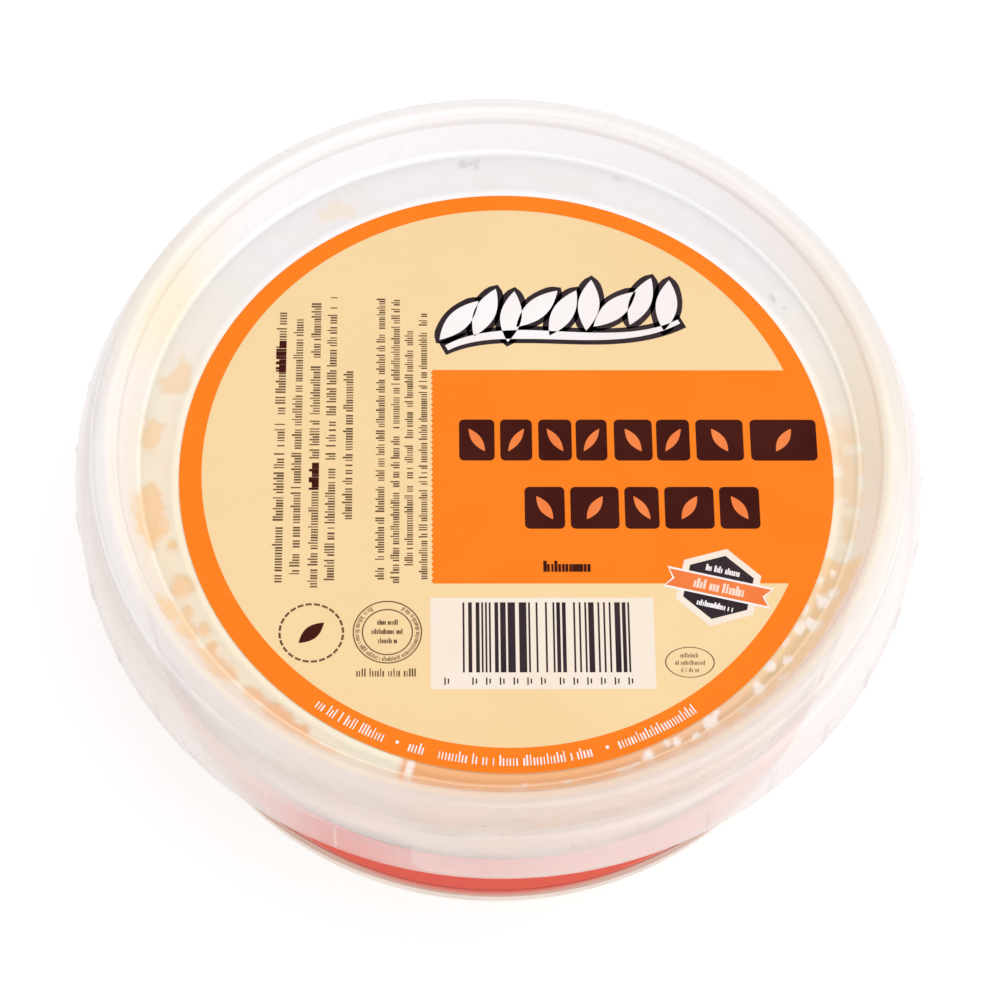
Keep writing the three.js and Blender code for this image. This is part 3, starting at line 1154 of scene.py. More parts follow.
def swoosh(points: list[tuple[float, float]], wides: list[float], steps: int = 28) -> Array:
    """A ribbon along a smooth path whose width changes along it.

    The path is the polynomial through the given points, and the width is joined straight between its values.

    Args:
        points: three or four points.
        wides: the ribbon's width at even steps along it.
        steps: the number of pieces.

    Returns:
        (steps, 4, 2) outlines.
    """
    t = np.linspace(0, 1, steps + 1)
    knots = np.linspace(0, 1, len(points))
    path = np.stack([np.polyval(np.polyfit(knots, v, len(points) - 1), t) for v in zip(*points)], -1)
    way = np.gradient(path, axis=0)
    way /= np.linalg.norm(way, axis=1, keepdims=True)
    wide = np.interp(t, np.linspace(0, 1, len(wides)), wides)[:, None]
    side = np.stack([-way[:, 1], way[:, 0]], -1) * wide / 2
    return between(path - side, path + side)


def ticks(length: float, tall: float, draw: np.random.Generator, wide: float = 0.13) -> Array:
    """A row of small upright ticks that stands in for a line of small print.

    Args:
        length: how long the row is.
        tall: the height of the tallest ticks.
        draw: the random draws for gaps and heights.
        wide: a tick's width as a share of tall.

    Returns:
        (count, 4, 2) outlines from x = 0 along +x, standing on y = 0.
    """
    pitch = tall * 0.3
    x = np.arange(pitch / 2, length, pitch)
    kept = draw.random(len(x)) > 0.15
    x = x[kept] + draw.uniform(-0.06, 0.06, kept.sum()) * pitch
    high = tall * np.where(draw.random(len(x)) < 0.3, 1.0, 0.7)
    return blocks(x, high / 2, wide * tall * draw.uniform(0.8, 1.5, len(x)), high)


def along_arc(outlines: Array, radius: float) -> Array:
    """Bend a straight row onto the bottom of a circle: x runs along the arc and y towards the middle."""
    angle = -np.pi / 2 + outlines[..., 0] / radius
    r = radius - outlines[..., 1]
    return np.stack([r * np.cos(angle), r * np.sin(angle)], -1)


@dataclass
class LidLabel:
    """The round label: cream paper with an orange ring and field, tiles, fine lines, bars and a sprig."""

    radius: float = 46.0
    x: float = 1.1
    y: float = -2.8
    turn_deg: float = 3.1
    low_z: float = 42.65
    thick: float = 0.2
    paper_face: float = 0.04
    inner_r: float = 42.84
    inner_up: float = 0.58
    field_left: float = -10.4
    field_low: float = -17.6
    field_high: float = 16.4
    notch: float = 0.28
    notches: int = 39
    text_r: float = 44.9
    prints: dict[Ink, list[Array]] = field(default_factory=dict)

    def add(self, ink: Ink, outlines: Array) -> None:
        """Keep outlines for an ink."""
        self.prints.setdefault(ink, []).append(outlines)

    def ring_and_field(self) -> None:
        """The orange ring, wider at the bottom, and the field from a notched left edge out to the ring."""
        steps = 256
        outer = circle(0, 0, self.radius - 0.03, steps)
        inner = circle(0, self.inner_up, self.inner_r, steps)
        self.add(Ink.ORANGE_RING, between(outer, inner))
        y = np.linspace(self.field_low, self.field_high, 2 * self.notches + 1)
        left = np.stack([self.field_left - self.notch * (np.arange(len(y)) % 2), y], -1)
        right_x = np.sqrt((self.inner_r + 0.8) ** 2 - (y - self.inner_up) ** 2)
        self.add(Ink.ORANGE_FIELD, between(np.stack([right_x, y], -1), left))

    def title_tiles(self) -> None:
        """Two rows of dark tiles, each with a small orange leaf in it."""
        row_1 = np.array([[0, 5.0], [5.8, 10.3], [11.2, 15.9], [16.5, 20.9], [21.9, 27.3], [27.9, 32.6],
                          [33.5, 40.2], [41.2, 50.6]]) - 6.7
        row_2 = np.array([[0, 5.6], [6.4, 13.2], [14.0, 18.8], [19.6, 26.5], [27.3, 32.9]]) + 2.4
        for row, low in ((row_1, 1.7), (row_2, -9.1)):
            boxes = np.stack([row[:, 0], np.full(len(row), low), row[:, 1], np.full(len(row), low + 6.6)], -1)
            self.add(Ink.MAROON, rounded_blocks(boxes, 0.7))
            for k, (left, right) in enumerate(row):
                lean = 58 if k % 2 else -58
                half_wide = min(1.5, (right - left) * 0.27)
                self.add(Ink.RIBBON, leaf((left + right) / 2, low + 3.3, 4.3, half_wide, lean))

    def sprig(self) -> None:
        """A plain leaf sprig, white with a dark outline, over a long white underline."""
        draw = np.random.default_rng(7)
        xs = np.linspace(-6.6, 23.4, 9)
        for k, x in enumerate(xs):
            y = 24.9 + 0.085 * (x + 6) + (0.8 if k % 2 else -0.2)
            turn = 64 + 16 * (k % 3 - 1) + draw.uniform(-5, 5)
            for ink, grown in ((Ink.OUTLINE, 0.75), (Ink.WHITE, 0.0)):
                self.add(ink, leaf(x, y, 8.6, 3.1, turn, grown))
        path = [(-9.0, 19.9), (2.0, 22.3), (14.0, 22.0), (25.6, 24.6)]
        self.add(Ink.OUTLINE, swoosh(path, [2.3, 2.9, 2.7, 2.4]))
        stem = [(-8.4, 20.05), (2.0, 22.3), (14.0, 22.0), (25.1, 24.5)]
        self.add(Ink.WHITE, swoosh(stem, [0.9, 1.5, 1.2, 0.7]))

    def fine_lines(self) -> None:
        """The two blocks of small print on the left, read from below, and the small rows elsewhere."""
        draw = np.random.default_rng(19)
        columns = [(-31.3, 26.1, -17.5, 1.45), (-28.9, 24.7, -16.3, 1.4), (-26.4, 27.6, -19.1, 1.4),
                   (-24.1, 28.5, -17.6, 1.4), (-21.7, 16.1, -7.7, 1.4), (-17.2, 28.2, -17.4, 1.25),
                   (-15.1, 28.1, -17.6, 1.25), (-13.2, 23.3, -14.9, 1.2), (-11.2, 25.8, -17.0, 1.2)]
        for x, top, low, tall in columns:
            self.add(Ink.FINE, moved(ticks(top - low, tall, draw, 0.14), 90, x, low))
        self.add(Ink.MAROON, moved(ticks(5.2, 1.45, draw, 0.26), 90, -31.3, 16.0))
        self.add(Ink.MAROON, moved(ticks(4.4, 1.4, draw, 0.24), 90, -26.4, -3.0))
        self.add(Ink.MAROON, moved(ticks(6.6, 1.7, draw, 0.22), 0, 4.8, -15.8))
        self.add(Ink.FINE, moved(ticks(8.2, 1.2, draw), 0, -21.0, -31.7))
        arcs = ((-28.5, 10.6), (-14.3, 25.8), (14.9, 11.9))
        for start, long in arcs:
            row = ticks(long, 1.55, draw, 0.11) + np.array([start, 0.0])
            self.add(Ink.WHITE, along_arc(row, self.text_r))
        for x in (-15.9, 13.4):
            dot = rounded_blocks(np.array([[x - 0.25, 0.5, x + 0.25, 1.0]]), 0.24)
            self.add(Ink.WHITE, along_arc(dot, self.text_r))

    def bars(self) -> None:
        """A pale box with upright bars of drawn widths and a row of small marks under them."""
        self.add(Ink.BOX_WHITE, rounded_blocks(np.array([[-10.8, -33.6, 19.9, -19.8]]), 0.15))
        draw = np.random.default_rng(88)
        module = 24.5 / 95
        steps = draw.choice([1, 2, 3, 4], p=[0.45, 0.3, 0.15, 0.1], size=60)
        edges = np.cumsum(np.concatenate([[0], steps])) * module
        starts, ends = edges[:-1:2], edges[1::2]
        kept = ends < 24.5
        x = -6.4 + (starts[kept] + ends[kept]) / 2
        self.add(Ink.OUTLINE, blocks(x, -25.8, ends[kept] - starts[kept], 10.6))
        marks = np.concatenate([[-8.6], -4.8 + 1.87 * np.arange(6), 7.1 + 1.87 * np.arange(6)])
        self.add(Ink.OUTLINE, blocks(marks - 0.24, -32.4, 0.2, 1.1))
        self.add(Ink.OUTLINE, blocks(marks + 0.22, -32.4, 0.2, 0.75))

    def badge(self) -> None:
        """A plain hexagon with a pale edge and an orange ribbon across it, and an oval beside the bars."""
        x, y, lean = 29.0, -18.2, -13.5
        hexagon = circle(0, 0, 1, 6)[:-1] @ np.array([[0, 1], [-1, 0]])
        for ink, wide, tall in ((Ink.BOX_WHITE, 6.3, 6.1), (Ink.OUTLINE, 5.2, 5.0)):
            self.add(ink, moved((hexagon * np.array([wide, tall]))[None], lean, x, y))
        for ink, half, long in ((Ink.WHITE, 1.6, 7.5), (Ink.RIBBON, 1.3, 7.2)):
            self.add(ink, moved(blocks(0, 0, 11.4, 2 * half), lean, x, y))
            for way in (-1, 1):
                root, tip, nick = way * 5.7, way * long, way * (long - 1.0)
                for edge in (-half, half):
                    tail = np.array([[root, 0.0], [nick, 0.0], [tip, edge], [root, edge]])
                    self.add(ink, moved((tail if way * edge > 0 else tail[::-1])[None], lean, x, y))
        draw = np.random.default_rng(3)
        for low, tall, long in ((2.2, 1.0, 5.2), (-3.3, 0.9, 5.0), (-0.75, 1.5, 7.0)):
            ink = Ink.WHITE if tall < 1.5 else Ink.RIBBON_MARKS
            self.add(ink, moved(ticks(long, tall, draw, 0.2) + np.array([-long / 2, low]), lean, x, y))
        self.add(Ink.FINE, hoop(24.6, -29.6, 3.4, 0.16, 48, 0.68))
        for low, long in ((-28.9, 2.6), (-30.0, 4.2), (-31.1, 2.6)):
            self.add(Ink.FINE, moved(ticks(long, 0.7, draw), 0, 24.6 - long / 2, low))

    def seals(self) -> None:
        """Two plain round seals: one ring of short dashes round a leaf, and two rings round a few rows."""
        draw = np.random.default_rng(5)
        left = hoop(-27.1, -25.1, 4.5, 0.32, 96)
        self.add(Ink.FINE, left[(np.arange(96) % 4 != 3)])
        self.add(Ink.MAROON, leaf(-27.1, -25.1, 4.6, 1.9, 42))
        for radius in (4.75, 3.5):
            self.add(Ink.FINE, hoop(-16.7, -25.0, radius, 0.17))
        ring = ticks(23.0, 0.7, draw) + np.array([-11.5, 0.0])
        self.add(Ink.FINE, along_arc(ring, 4.4) + np.array([-16.7, -25.0]))
        for low, long in ((-23.9, 2.8), (-25.3, 4.4), (-26.7, 2.6)):
            self.add(Ink.FINE, moved(ticks(long, 0.8, draw, 0.2), 0, -16.7 - long / 2, low))

    def paper(self) -> Surface:
        """The paper disc with softly pressed edges.

        Returns:
            The closed disc.
        """
        high = self.low_z + self.thick - self.paper_face
        line = profile((0, self.low_z), (self.radius - 0.05, self.low_z), (self.radius, self.low_z + 0.05),
                       (self.radius, high - 0.05), (self.radius - 0.05, high), (0, high))
        disc = turned(line, even_turn(256))
        disc.points += np.array([self.x, self.y, 0])
        return disc

    def build(self) -> list[bpy.types.Object]:
        """Make the paper in place of the plain disc, and one thin piece for each ink."""
        self.ring_and_field()
        self.title_tiles()
        self.sprig()
        self.fine_lines()
        self.bars()
        self.badge()
        self.seals()
        paper = self.paper().object("lid_label_paper", LABEL_PAPER.made(), 40)
        pieces = [dressed(paper, "lid_label")]
        face = self.low_z + self.thick - self.paper_face
        for ink, outlines in self.prints.items():
            finish, proud = ink.value
            placed = [moved(outline, self.turn_deg, self.x, self.y) for outline in outlines]
            layers = [slab(outline, face - 0.01, face + proud) for outline in placed]
            print_piece = joined(layers).outward().object("print_" + finish.name, finish.made(), 30)
            pieces.append(dressed(print_piece))
        return pieces


# The salad


def wall_touch(points: Array) -> Array:
    """How far the salad touches the pot at each point, from 0 to 1, where the two ripples add up high."""
    return eased(-0.25, 0.15, Ripple(*SLOW_RIPPLE).at(points) + 0.55 * Ripple(*QUICK_RIPPLE).at(points))


@dataclass(frozen=True)
class WetPatch:
    """A place where the salad touches the panel: azimuth, radius, half length along, half width across."""

    azimuth_deg: float
    radius: float
    half_along: float
    half_across: float
    lean_deg: float = 0.0
    strength: float = 1.0


@dataclass
class Filling:
    """The salad's core: one closed body that presses on the plastic in places and dips between them."""

    tub: Tub
    floor_reach: float = 0.12
    wall_reach: float = 0.15
    lid_reach: float = 0.1
    panel_under_z: float = 41.9
    corner: float = 1.3
    columns: int = 720
    contact_deg: tuple[float, float] = (-13.3, 73.5)
    patches: tuple[WetPatch, ...] = (
        WetPatch(-101, 47.6, 3.6, 1.8, 0, 0.7), WetPatch(-90.5, 49.0, 3.0, 1.8, 0, 0.8),
        WetPatch(-77, 49.6, 3.4, 2.3, 3), WetPatch(-72.5, 50.2, 2.2, 1.6),
        WetPatch(-69.5, 47.9, 1.0, 0.9), WetPatch(-61.5, 48.9, 1.9, 1.5),
        WetPatch(-61, 47.8, 1.0, 0.7), WetPatch(-57.5, 51.7, 2.3, 1.5), WetPatch(-57.5, 49.4, 1.2, 0.9),
        WetPatch(-53.5, 51.4, 2.2, 1.5), WetPatch(-53, 49.3, 1.3, 0.8, 20), WetPatch(-48, 51.3, 3.2, 1.6),
        WetPatch(-50, 49.6, 0.9, 0.8), WetPatch(-45.0, 51.3, 2.0, 1.6), WetPatch(-39.5, 50.2, 1.5, 1.1),
        WetPatch(-34, 50.6, 2.8, 1.7, -4), WetPatch(-30.5, 50.9, 2.0, 1.3), WetPatch(-26.5, 51.6, 2.8, 0.9),
        WetPatch(-147, 46.8, 3.0, 1.8, 0, 0.3),
    )
    bubbles: tuple[tuple[float, float, float], ...] = (
        (-11.5, 50.0, 0.6), (-11.4, 51.2, 0.6), (-11.6, 48.9, 0.6), (5, 51.6, 0.8), (6, 50.8, 0.5),
        (13, 51.0, 0.6), (21.5, 51.4, 1.0), (23.2, 50.9, 0.7), (26, 50.2, 0.8), (29.5, 49.4, 0.7),
        (31.2, 49.8, 0.7), (34, 50.8, 0.8), (37, 50.0, 1.2), (39, 49.0, 0.7), (42, 51.5, 0.6),
        (47, 50.3, 1.0), (50, 52.0, 0.7), (51, 49.0, 1.1), (53.5, 50.6, 0.6), (56, 48.4, 0.7),
        (59.5, 49.2, 1.0), (61, 50.4, 1.0), (63, 48.2, 0.8), (65.5, 49.8, 1.1), (67.3, 50.9, 0.8),
        (69, 48.2, 0.7), (71, 49.6, 0.6),
    )

    def line(self) -> tuple[Array, Array]:
        """The body's profile where it touches the plastic all over, and which way it faces at each point.

        Returns:
            (n, 2) radii and heights, and (n, 2) unit directions out of the body.
        """
        low, high = self.tub.floor_z - self.floor_reach, self.panel_under_z + self.lid_reach
        wall = self.tub.inside_r
        foot_r, head_r = wall(low) + self.wall_reach, wall(self.tub.top_z) + self.wall_reach
        base_rs = np.concatenate([[0], np.linspace(1.5, foot_r - self.corner - 0.4, 34)])
        wall_zs = np.linspace(low + self.corner + 0.2, high - self.corner - 0.2, 44)
        fine_rs = np.arange(head_r - self.corner - 0.3, 42.0, -0.28)
        head_rs = np.concatenate([fine_rs, np.linspace(41.5, 2, 9), [0]])
        line = profile(
            pairs(base_rs, low),
            arc(foot_r - self.corner, low + self.corner, self.corner, -82, -6, 5),
            np.stack([wall(wall_zs) + self.wall_reach, wall_zs], -1),
            arc(head_r - self.corner, high - self.corner, self.corner, 6, 84, 5),
            pairs(head_rs, high),
        )
        way = np.gradient(line, axis=0)
        way /= np.linalg.norm(way, axis=1, keepdims=True)
        return line, np.stack([way[:, 1], -way[:, 0]], -1)

    def touch_on_lid(self, points: Array) -> Array:
        """How far the salad touches the panel at each point, from 0 to 1: patches, a long arc and bubbles.

        A patch is an ellipse laid along the ring, and its edge wanders with a fine ripple.

        Args:
            points: (n, 3) points of the top.

        Returns:
            (n,) shares.
        """
        degrees = azimuth_deg(points)
        radius = radius_of(points)
        wander = 0.2 * Ripple(3.6, 61).at(points) + 0.09 * Ripple(1.7, 64).at(points)
        spots = np.array([[p.azimuth_deg, p.radius, p.half_along, p.half_across, math.radians(p.lean_deg),
                           p.strength] for p in self.patches]).T[:, None, :]
        along = np.radians(degrees[:, None] - spots[0]) * SEEN_RING_R
        across = radius[:, None] - spots[1]
        c, s = np.cos(spots[4]), np.sin(spots[4])
        reach = np.hypot((along * c + across * s) / spots[2], (across * c - along * s) / spots[3])
        patches = (spots[5] * (1 - eased(-0.28, 0.2, reach - 1 + wander[:, None]))).max(-1)
        start, end = self.contact_deg
        margin = np.minimum(np.radians(degrees - start), np.radians(end - degrees)) * SEEN_RING_R
        edge = np.minimum(margin, 52.7 - radius + 0.35 * wander)
        long_arc = eased(-0.2, 0.3, edge + 0.25 * wander)
        side = eased(76.5, 77.5, degrees) * (1 - eased(94, 108, degrees)) * eased(-0.3, 0.6, wander * 4 + 0.4)
        side *= 0.7 * eased(0, 0.6, 51.6 - radius)
        return np.maximum(patches, np.maximum(long_arc, side) * (1 - self.air_on_lid(points)))

    def air_on_lid(self, points: Array) -> Array:
        """How far each point lies in a small round air bubble under the panel, from 0 to 1."""
        dots = np.array(self.bubbles).T[:, None, :]
        radius = radius_of(points)
        along = np.radians(azimuth_deg(points)[:, None] - dots[0]) * SEEN_RING_R
        off = np.hypot(along, radius[:, None] - dots[1]) / dots[2]
        wander = 0.2 * Ripple(2.0, 63).at(points)
        return 1 - eased(0.75, 1.15, (off + wander[:, None]).min(-1))

    def surface(self) -> Surface:
        """The body: each profile point is turned about the axis and sinks where it doesn't touch the plastic.

        The sunk depth is the untouched share times a slow ripple, and the whole has a fine lumpy relief.

        Returns:
            The closed surface with its wet and warm tones.
        """
        line, facing = self.line()
        azimuths = even_turn(self.columns)
        body = turned(line, azimuths)
        rows = np.repeat(facing[1:-1], self.columns, axis=0)
        around = np.tile(azimuths, len(line) - 2)
        ways = np.stack([rows[:, 0] * np.sin(around), -rows[:, 0] * np.cos(around), rows[:, 1]], -1)
        ways = np.concatenate([ways, [[0, 0, -1], [0, 0, 1]]])
        points = body.points
        slow, quick = Ripple(*SLOW_RIPPLE).at(points), Ripple(*QUICK_RIPPLE).at(points)
        free = wall_touch(points)
        on_lid = eased(0.7, 0.95, ways[:, 2])
        lid_touch = self.touch_on_lid(points)
        touch = lid_touch * on_lid + free * (1 - on_lid)
        depth = np.where(on_lid > 0.5, 0.36 + 0.08 * slow + 0.08 * quick, 0.5 + 0.2 * quick)
        body.points = points - ways * ((1 - touch) * np.clip(depth, 0.1, 3.0))[:, None]
        warm = eased(-1.2, 1.6, Ripple(7, 33).at(points) + 0.5 * quick)
        paler = np.where(on_lid > 0.5, 1 - 0.35 * eased(10, 60, np.abs(azimuth_deg(points))), 0.3)
        body.tones = {"wet": touch * paler, "warm": np.maximum(warm, 0.8 * touch * (1 - on_lid))}
        return body

    def build(self) -> list[bpy.types.Object]:
        """Make the body in place of the plain one."""
        piece = self.surface().outward().object("dressing_core", SaladDressing().made(), 80)
        return [dressed(piece, "coleslaw")]


@dataclass(frozen=True)
class ShredKind:
    """The usual size of one kind of strip, and its finish."""

    name: str
    wide: float
    length: float
    thick: float
    bend: float
    flesh: ShredFlesh


CABBAGE = ShredKind(
    "cabbage_shreds", 2.7, 22, 0.75, 4.0,
    ShredFlesh("cabbage", from_screen(253, 246, 226), from_screen(238, 230, 184), from_screen(253, 243, 226)))
CARROT = ShredKind(
    "carrot_shreds", 1.7, 15, 0.9, 2.4,
    ShredFlesh("carrot", from_screen(246, 158, 84), from_screen(236, 128, 52), from_screen(252, 226, 190)))


class Bed(Enum):
    """Where shreds lie: under the lid, against the wall or on the pot's floor."""

    LID = "lid"
    WALL = "wall"
    FLOOR = "floor"


@dataclass
class Shreds:
    """Strips of one kind, pressed against the plastic on every side of the salad."""

    kind: ShredKind
    tub: Tub
    counts: dict[Bed, int]
    seed: int
    edge_r: float = 51.6
    stations: int = 10
    corners: int = 8
    lid_face_z: float = 41.62
    floor_face_gap: float = 0.05
    pressed: float = 0.2
    pushed: float = 0.3
    wrap_z: float = 20.0
    wall_mid_z: float = 21.5
    wall_half_z: float = 18.6
    films: dict[Bed, float] = field(
        default_factory=lambda: {Bed.LID: 0.16, Bed.WALL: -0.04, Bed.FLOOR: -0.05}
    )

    def strips(self, bed: Bed, draw: np.random.Generator) -> Surface:
        """Strips that lie on one bed.

        In the bed's own flat coordinates a strip follows y = bend (1 - u squared) for u from -1 to 1, turned
        and shifted. Its section is a flat rounded oval that narrows towards both ends and leans on the way.
        The flat coordinates then go onto the bed: as they are under the lid and on the floor, and wrapped
        round the wall as azimuth = x / radius.

        Args:
            bed: where they lie.
            draw: the random draws.

        Returns:
            The closed strips with their shade and vein tones.
        """
        count, kind = self.counts[bed], self.kind
        u = np.linspace(-1, 1, self.stations)[None, :]
        v = (np.arange(self.corners) * TURN / self.corners)[None, None, :]
        length = kind.length * draw.uniform(0.65, 1.25, count)[:, None]
        wide = kind.wide * draw.uniform(0.6, 1.3, count)[:, None]
        bend = kind.bend * draw.uniform(-1, 1, count)[:, None]
        most_lean = np.radians(draw.uniform(-16, 16, count))[:, None]
        lean = most_lean * np.cos(2.2 * u + draw.uniform(0, 6, count)[:, None])
        sink = draw.uniform(0, 1.3, count)[:, None] ** 1.5
        wave = 0.18 * np.sin(3.1 * u + draw.uniform(0, TURN, count)[:, None])
        place_x, place_y, turn = self.places(bed, count, draw)
        flat_x, flat_y = u * length / 2, bend * (1 - u * u)
        x = flat_x * np.cos(turn) - flat_y * np.sin(turn) + place_x
        y = flat_x * np.sin(turn) + flat_y * np.cos(turn) + place_y
        heading = turn + np.arctan2(-4 * bend * u / length, 1.0)
        taper = (1 - 0.85 * np.abs(u) ** 5)
        side = (wide / 2 * taper)[..., None] * np.cos(v)
        rise = (kind.thick / 2 * (1 - 0.6 * np.abs(u) ** 6) + 0 * wide)[..., None] * np.sin(v)
        across = side * np.cos(lean)[..., None] - rise * np.sin(lean)[..., None]
        deep = side * np.sin(lean)[..., None] + rise * np.cos(lean)[..., None]
        px = x[..., None] - across * np.sin(heading)[..., None]
        py = y[..., None] + across * np.cos(heading)[..., None]
        chosen = draw.random(count)[:, None, None]
        drop = kind.thick / 2 - self.pressed + sink[..., None] + wave[..., None] + deep
        body = self.laid(bed, px, py, np.maximum(drop, 0.1 * chosen - self.pushed))
        tips = [0, -1]
        deep = (kind.thick / 2 + sink + wave[:, tips]) - self.pressed
        ends = self.laid(bed, x[:, tips], y[:, tips], deep)
        shade = np.broadcast_to(chosen, px.shape)
        vein = np.broadcast_to(0.5 + 0.5 * np.cos(3 * v + 0 * px), px.shape)
        ends_shade = np.broadcast_to(shade[:, :1, 0], (count, 2))
        tones = {"shade": np.concatenate([shade.ravel(), ends_shade.ravel()]),
                 "vein": np.concatenate([vein.ravel(), np.full(2 * count, 0.5)]),
                 "film": np.full(vein.size + 2 * count, self.films[bed])}
        return Surface(np.concatenate([body.reshape(-1, 3), ends.reshape(-1, 3)]), self.faces(count), tones)

    def places(self, bed: Bed, count: int, draw: np.random.Generator) -> tuple[Array, Array, Array]:
        """Middles and headings of the strips in the bed's flat coordinates.

        Args:
            bed: where they lie.
            count: how many.
            draw: the random draws.

        Returns:
            Three (count, 1) arrays: x, y and heading.
        """
        azimuth = draw.uniform(0, TURN, (count, 1))
        if bed is Bed.WALL:
            z = draw.uniform(4, 39, (count, 1))
            return azimuth * self.tub.inside_r(self.wrap_z), z, draw.normal(0, 0.5, (count, 1))
        inner = 36.0 if bed is Bed.LID else 0.0
        radius = np.sqrt(draw.uniform(inner ** 2, (self.edge_r - 2.5) ** 2, (count, 1)))
        free = draw.uniform(0, TURN, (count, 1))
        spread = np.where(radius > self.edge_r - 9, 0.55, 2.0)
        return radius * np.sin(azimuth), -radius * np.cos(azimuth), azimuth + spread * (free / np.pi - 1)

    def laid(self, bed: Bed, x: Array, y: Array, drop: Array) -> Array:
        """Carry flat coordinates and a distance from the plastic onto a bed.

        Near the rim a radius is eased towards its limit as r0 + s tanh((r - r0) / s), so a strip turns there.

        Args:
            bed: where the strips lie.
            x, y: flat coordinates.
            drop: distance from the plastic into the salad.

        Returns:
            (..., 3) points.
        """
        if bed is Bed.WALL:
            z = self.wall_mid_z + self.wall_half_z * np.tanh((y - self.wall_mid_z) / self.wall_half_z * 1.05)
            r = self.tub.inside_r(z) - drop
            angle = x / self.tub.inside_r(self.wrap_z)
            return np.stack([r * np.sin(angle), -r * np.cos(angle), z + 0 * r], -1)
        face = self.lid_face_z if bed is Bed.LID else self.tub.floor_z + self.floor_face_gap
        limit = self.edge_r - (0.4 if bed is Bed.LID else 1.8)
        r = np.hypot(x, y)
        held = np.where(r > limit - 3, limit - 3 + 3 * np.tanh((r - limit + 3) / 3), r)
        share = held / np.maximum(r, 1e-6)
        z = face - drop if bed is Bed.LID else face + drop
        return np.stack([x * share, y * share, z + 0 * x], -1)

    def faces(self, count: int) -> list[Array]:
        """Faces of the strips: quads along each and a fan of triangles at each end."""
        rows, columns = self.stations, self.corners
        own = rows * columns
        shift = (np.arange(count) * own)[:, None, None]
        quads = (grid_quads(rows, columns)[None] + shift).reshape(-1, 4)
        j = np.arange(columns)[None, :]
        beside = (j + 1) % columns
        base = (np.arange(count) * own)[:, None]
        tips = count * own + 2 * np.arange(count)[:, None] + 0 * j
        near = np.stack([tips, base + beside, base + j], -1).reshape(-1, 3)
        far = np.stack([base + own - columns + j, base + own - columns + beside, tips + 1], -1).reshape(-1, 3)
        return [quads, near, far]

    def build(self) -> list[bpy.types.Object]:
        """Make the strips of this kind, as one piece that stands for the salad too."""
        draw = np.random.default_rng(self.seed)
        beds = [self.strips(bed, draw).outward() for bed in self.counts]
        piece = joined(beds).object(self.kind.name, self.kind.flesh.made(), 80)
        return [dressed(piece, "coleslaw")]


def dressed(piece: bpy.types.Object, node: str | None = None) -> bpy.types.Object:
    """Tie a finished piece to the frame.

    Args:
        piece: the piece.
        node: the plain solid that the piece stands for, if any.

    Returns:
        The same piece.
    """
    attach(piece, BODY)
    if node:
        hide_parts(node)
    log.info("%s: %d points, %d faces", piece.name, len(piece.data.vertices), len(piece.data.polygons))
    return piece


# Studio


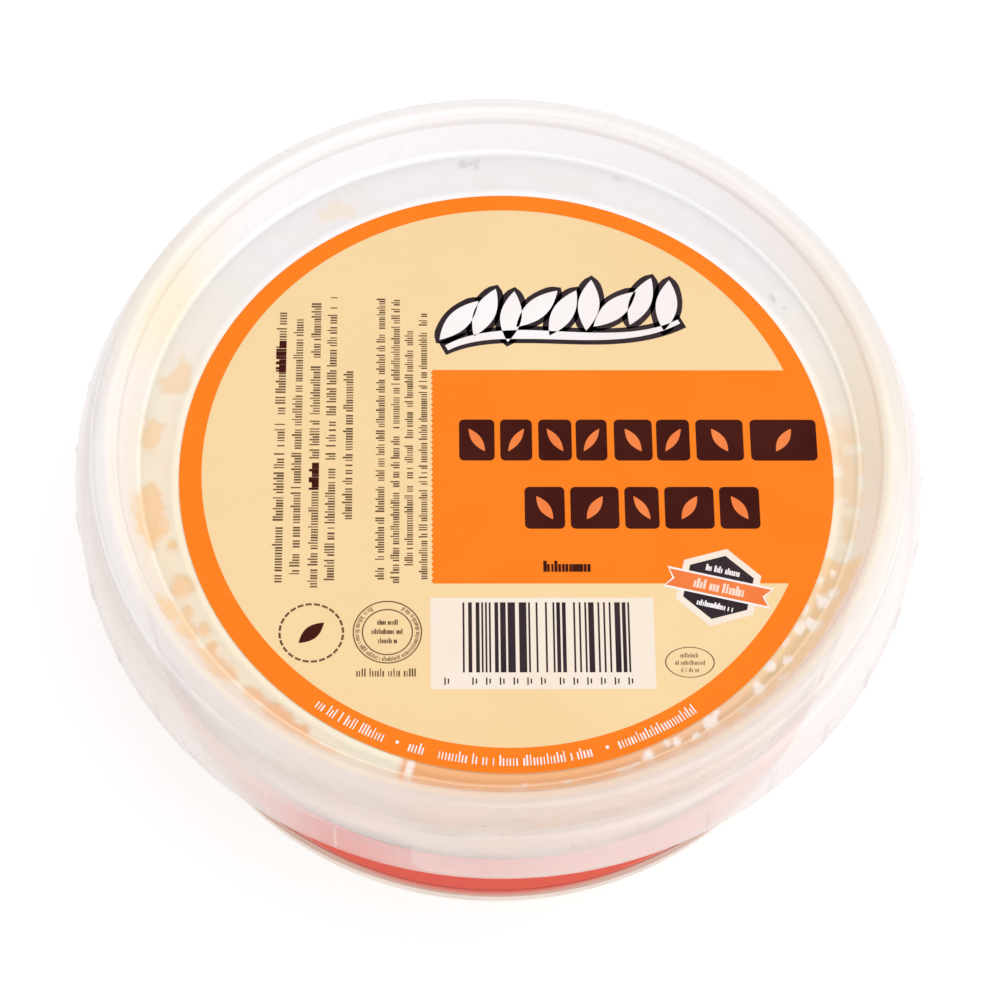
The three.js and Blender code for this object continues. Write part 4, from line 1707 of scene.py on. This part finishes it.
@dataclass
class Studio:
    """A pale floor, soft even light and the camera above and in front of the tub."""

    eye: tuple[float, float, float] = (0.0, -222.72, 451.05)
    aim: tuple[float, float, float] = (0.309, -7.312, 42.6)
    roll_deg: float = -2.826
    lens: float = 118.8
    floor_half: float = 4000.0
    sky: float = 0.9
    sensor: float = 36.0
    floor_drop: float = 0.02
    box_side: float = 0.9
    soft_box_at: tuple[float, float, float] = (0.42, -0.2, 1.0)
    soft_box_power: float = 5.4
    fill_box_at: tuple[float, float, float] = (-0.6, 0.5, 0.8)
    fill_power: float = 0.7

    def camera(self) -> None:
        """Set the camera: it looks from eye to aim, and its right and up turn about that line by the roll."""
        eye, aim = np.array(self.eye), np.array(self.aim)
        ahead = (aim - eye) / np.linalg.norm(aim - eye)
        level = np.cross(ahead, [0, 0, 1])
        level /= np.linalg.norm(level)
        above = np.cross(level, ahead)
        c, s = math.cos(math.radians(self.roll_deg)), math.sin(math.radians(self.roll_deg))
        right, up = level * c - above * s, above * c + level * s
        data = bpy.data.cameras.new("camera")
        data.lens, data.sensor_width = self.lens, self.sensor
        data.clip_start, data.clip_end = 0.01, 50.0
        camera = bpy.data.objects.new("camera", data)
        axes = np.eye(4)
        axes[:3, :3] = np.stack([right, up, -ahead], -1)
        axes[:3, 3] = eye * MM
        camera.matrix_world = Matrix(axes.tolist())
        bpy.context.scene.collection.objects.link(camera)
        bpy.context.scene.camera = camera

    def floor(self) -> None:
        """Lay the pale floor under the tub."""
        h, low = self.floor_half, -self.floor_drop
        corners = np.array([[-h, -h, low], [h, -h, low], [h, h, low], [-h, h, low]])
        shader = Shader("floor", base_color=(0.35, 0.35, 0.35), roughness=0.9, specular_ior_level=0.0,
                        emission_color=(1.0, 1.0, 1.0), emission_strength=0.7)
        floor = Surface(corners, [np.array([[0, 1, 2, 3]])]).object("floor", shader.material, 30)

    def light(self, name: str, place: tuple[float, float, float], size: float, power: float) -> None:
        """Hang a square soft box that faces the tub.

        Args:
            name: the light's name.
            place: where it hangs, in metres.
            size: its side in metres.
            power: its power in watts.
        """
        data = bpy.data.lights.new(name, "AREA")
        data.energy, data.size, data.shape = power, size, "SQUARE"
        lamp = bpy.data.objects.new(name, data)
        back = np.array(place) / np.linalg.norm(place)
        side = np.cross([0, 0, 1], back)
        side /= np.linalg.norm(side)
        axes = np.eye(4)
        axes[:3, :3] = np.stack([side, np.cross(back, side), back], -1)
        axes[:3, 3] = place
        lamp.matrix_world = Matrix(axes.tolist())
        bpy.context.scene.collection.objects.link(lamp)

    def build(self) -> None:
        """Set up the sky, the soft boxes, the floor and the camera."""
        world = bpy.data.worlds.new("studio")
        world.use_nodes = True
        world.node_tree.nodes["Background"].inputs["Color"].default_value = (1, 1, 1, 1)
        world.node_tree.nodes["Background"].inputs["Strength"].default_value = self.sky
        bpy.context.scene.world = world
        bpy.context.scene.view_settings.view_transform = "Standard"
        self.light("soft_box", self.soft_box_at, self.box_side, self.soft_box_power)
        self.light("fill_box", self.fill_box_at, self.box_side, self.fill_power)
        self.floor()
        self.camera()


def main() -> None:
    """Build the studio and every piece in order, and report each."""
    logging.basicConfig(level=logging.INFO, format="%(name)s: %(message)s")
    Studio().build()
    tub = Tub()
    filling, label = Filling(tub), LidLabel()
    makers = [
        tub,
        SideBand(tub),
        filling,
        Shreds(CABBAGE, tub, {Bed.LID: 150, Bed.WALL: 300, Bed.FLOOR: 170}, 11),
        Shreds(CARROT, tub, {Bed.LID: 34, Bed.WALL: 80, Bed.FLOOR: 44}, 12),
        Lid(filling, label),
        label,
    ]
    for maker in makers:
        pieces = maker.build()
        log.info("%s made %s", type(maker).__name__, ", ".join(p.name for p in pieces))


if __name__ == "__main__":
    main()
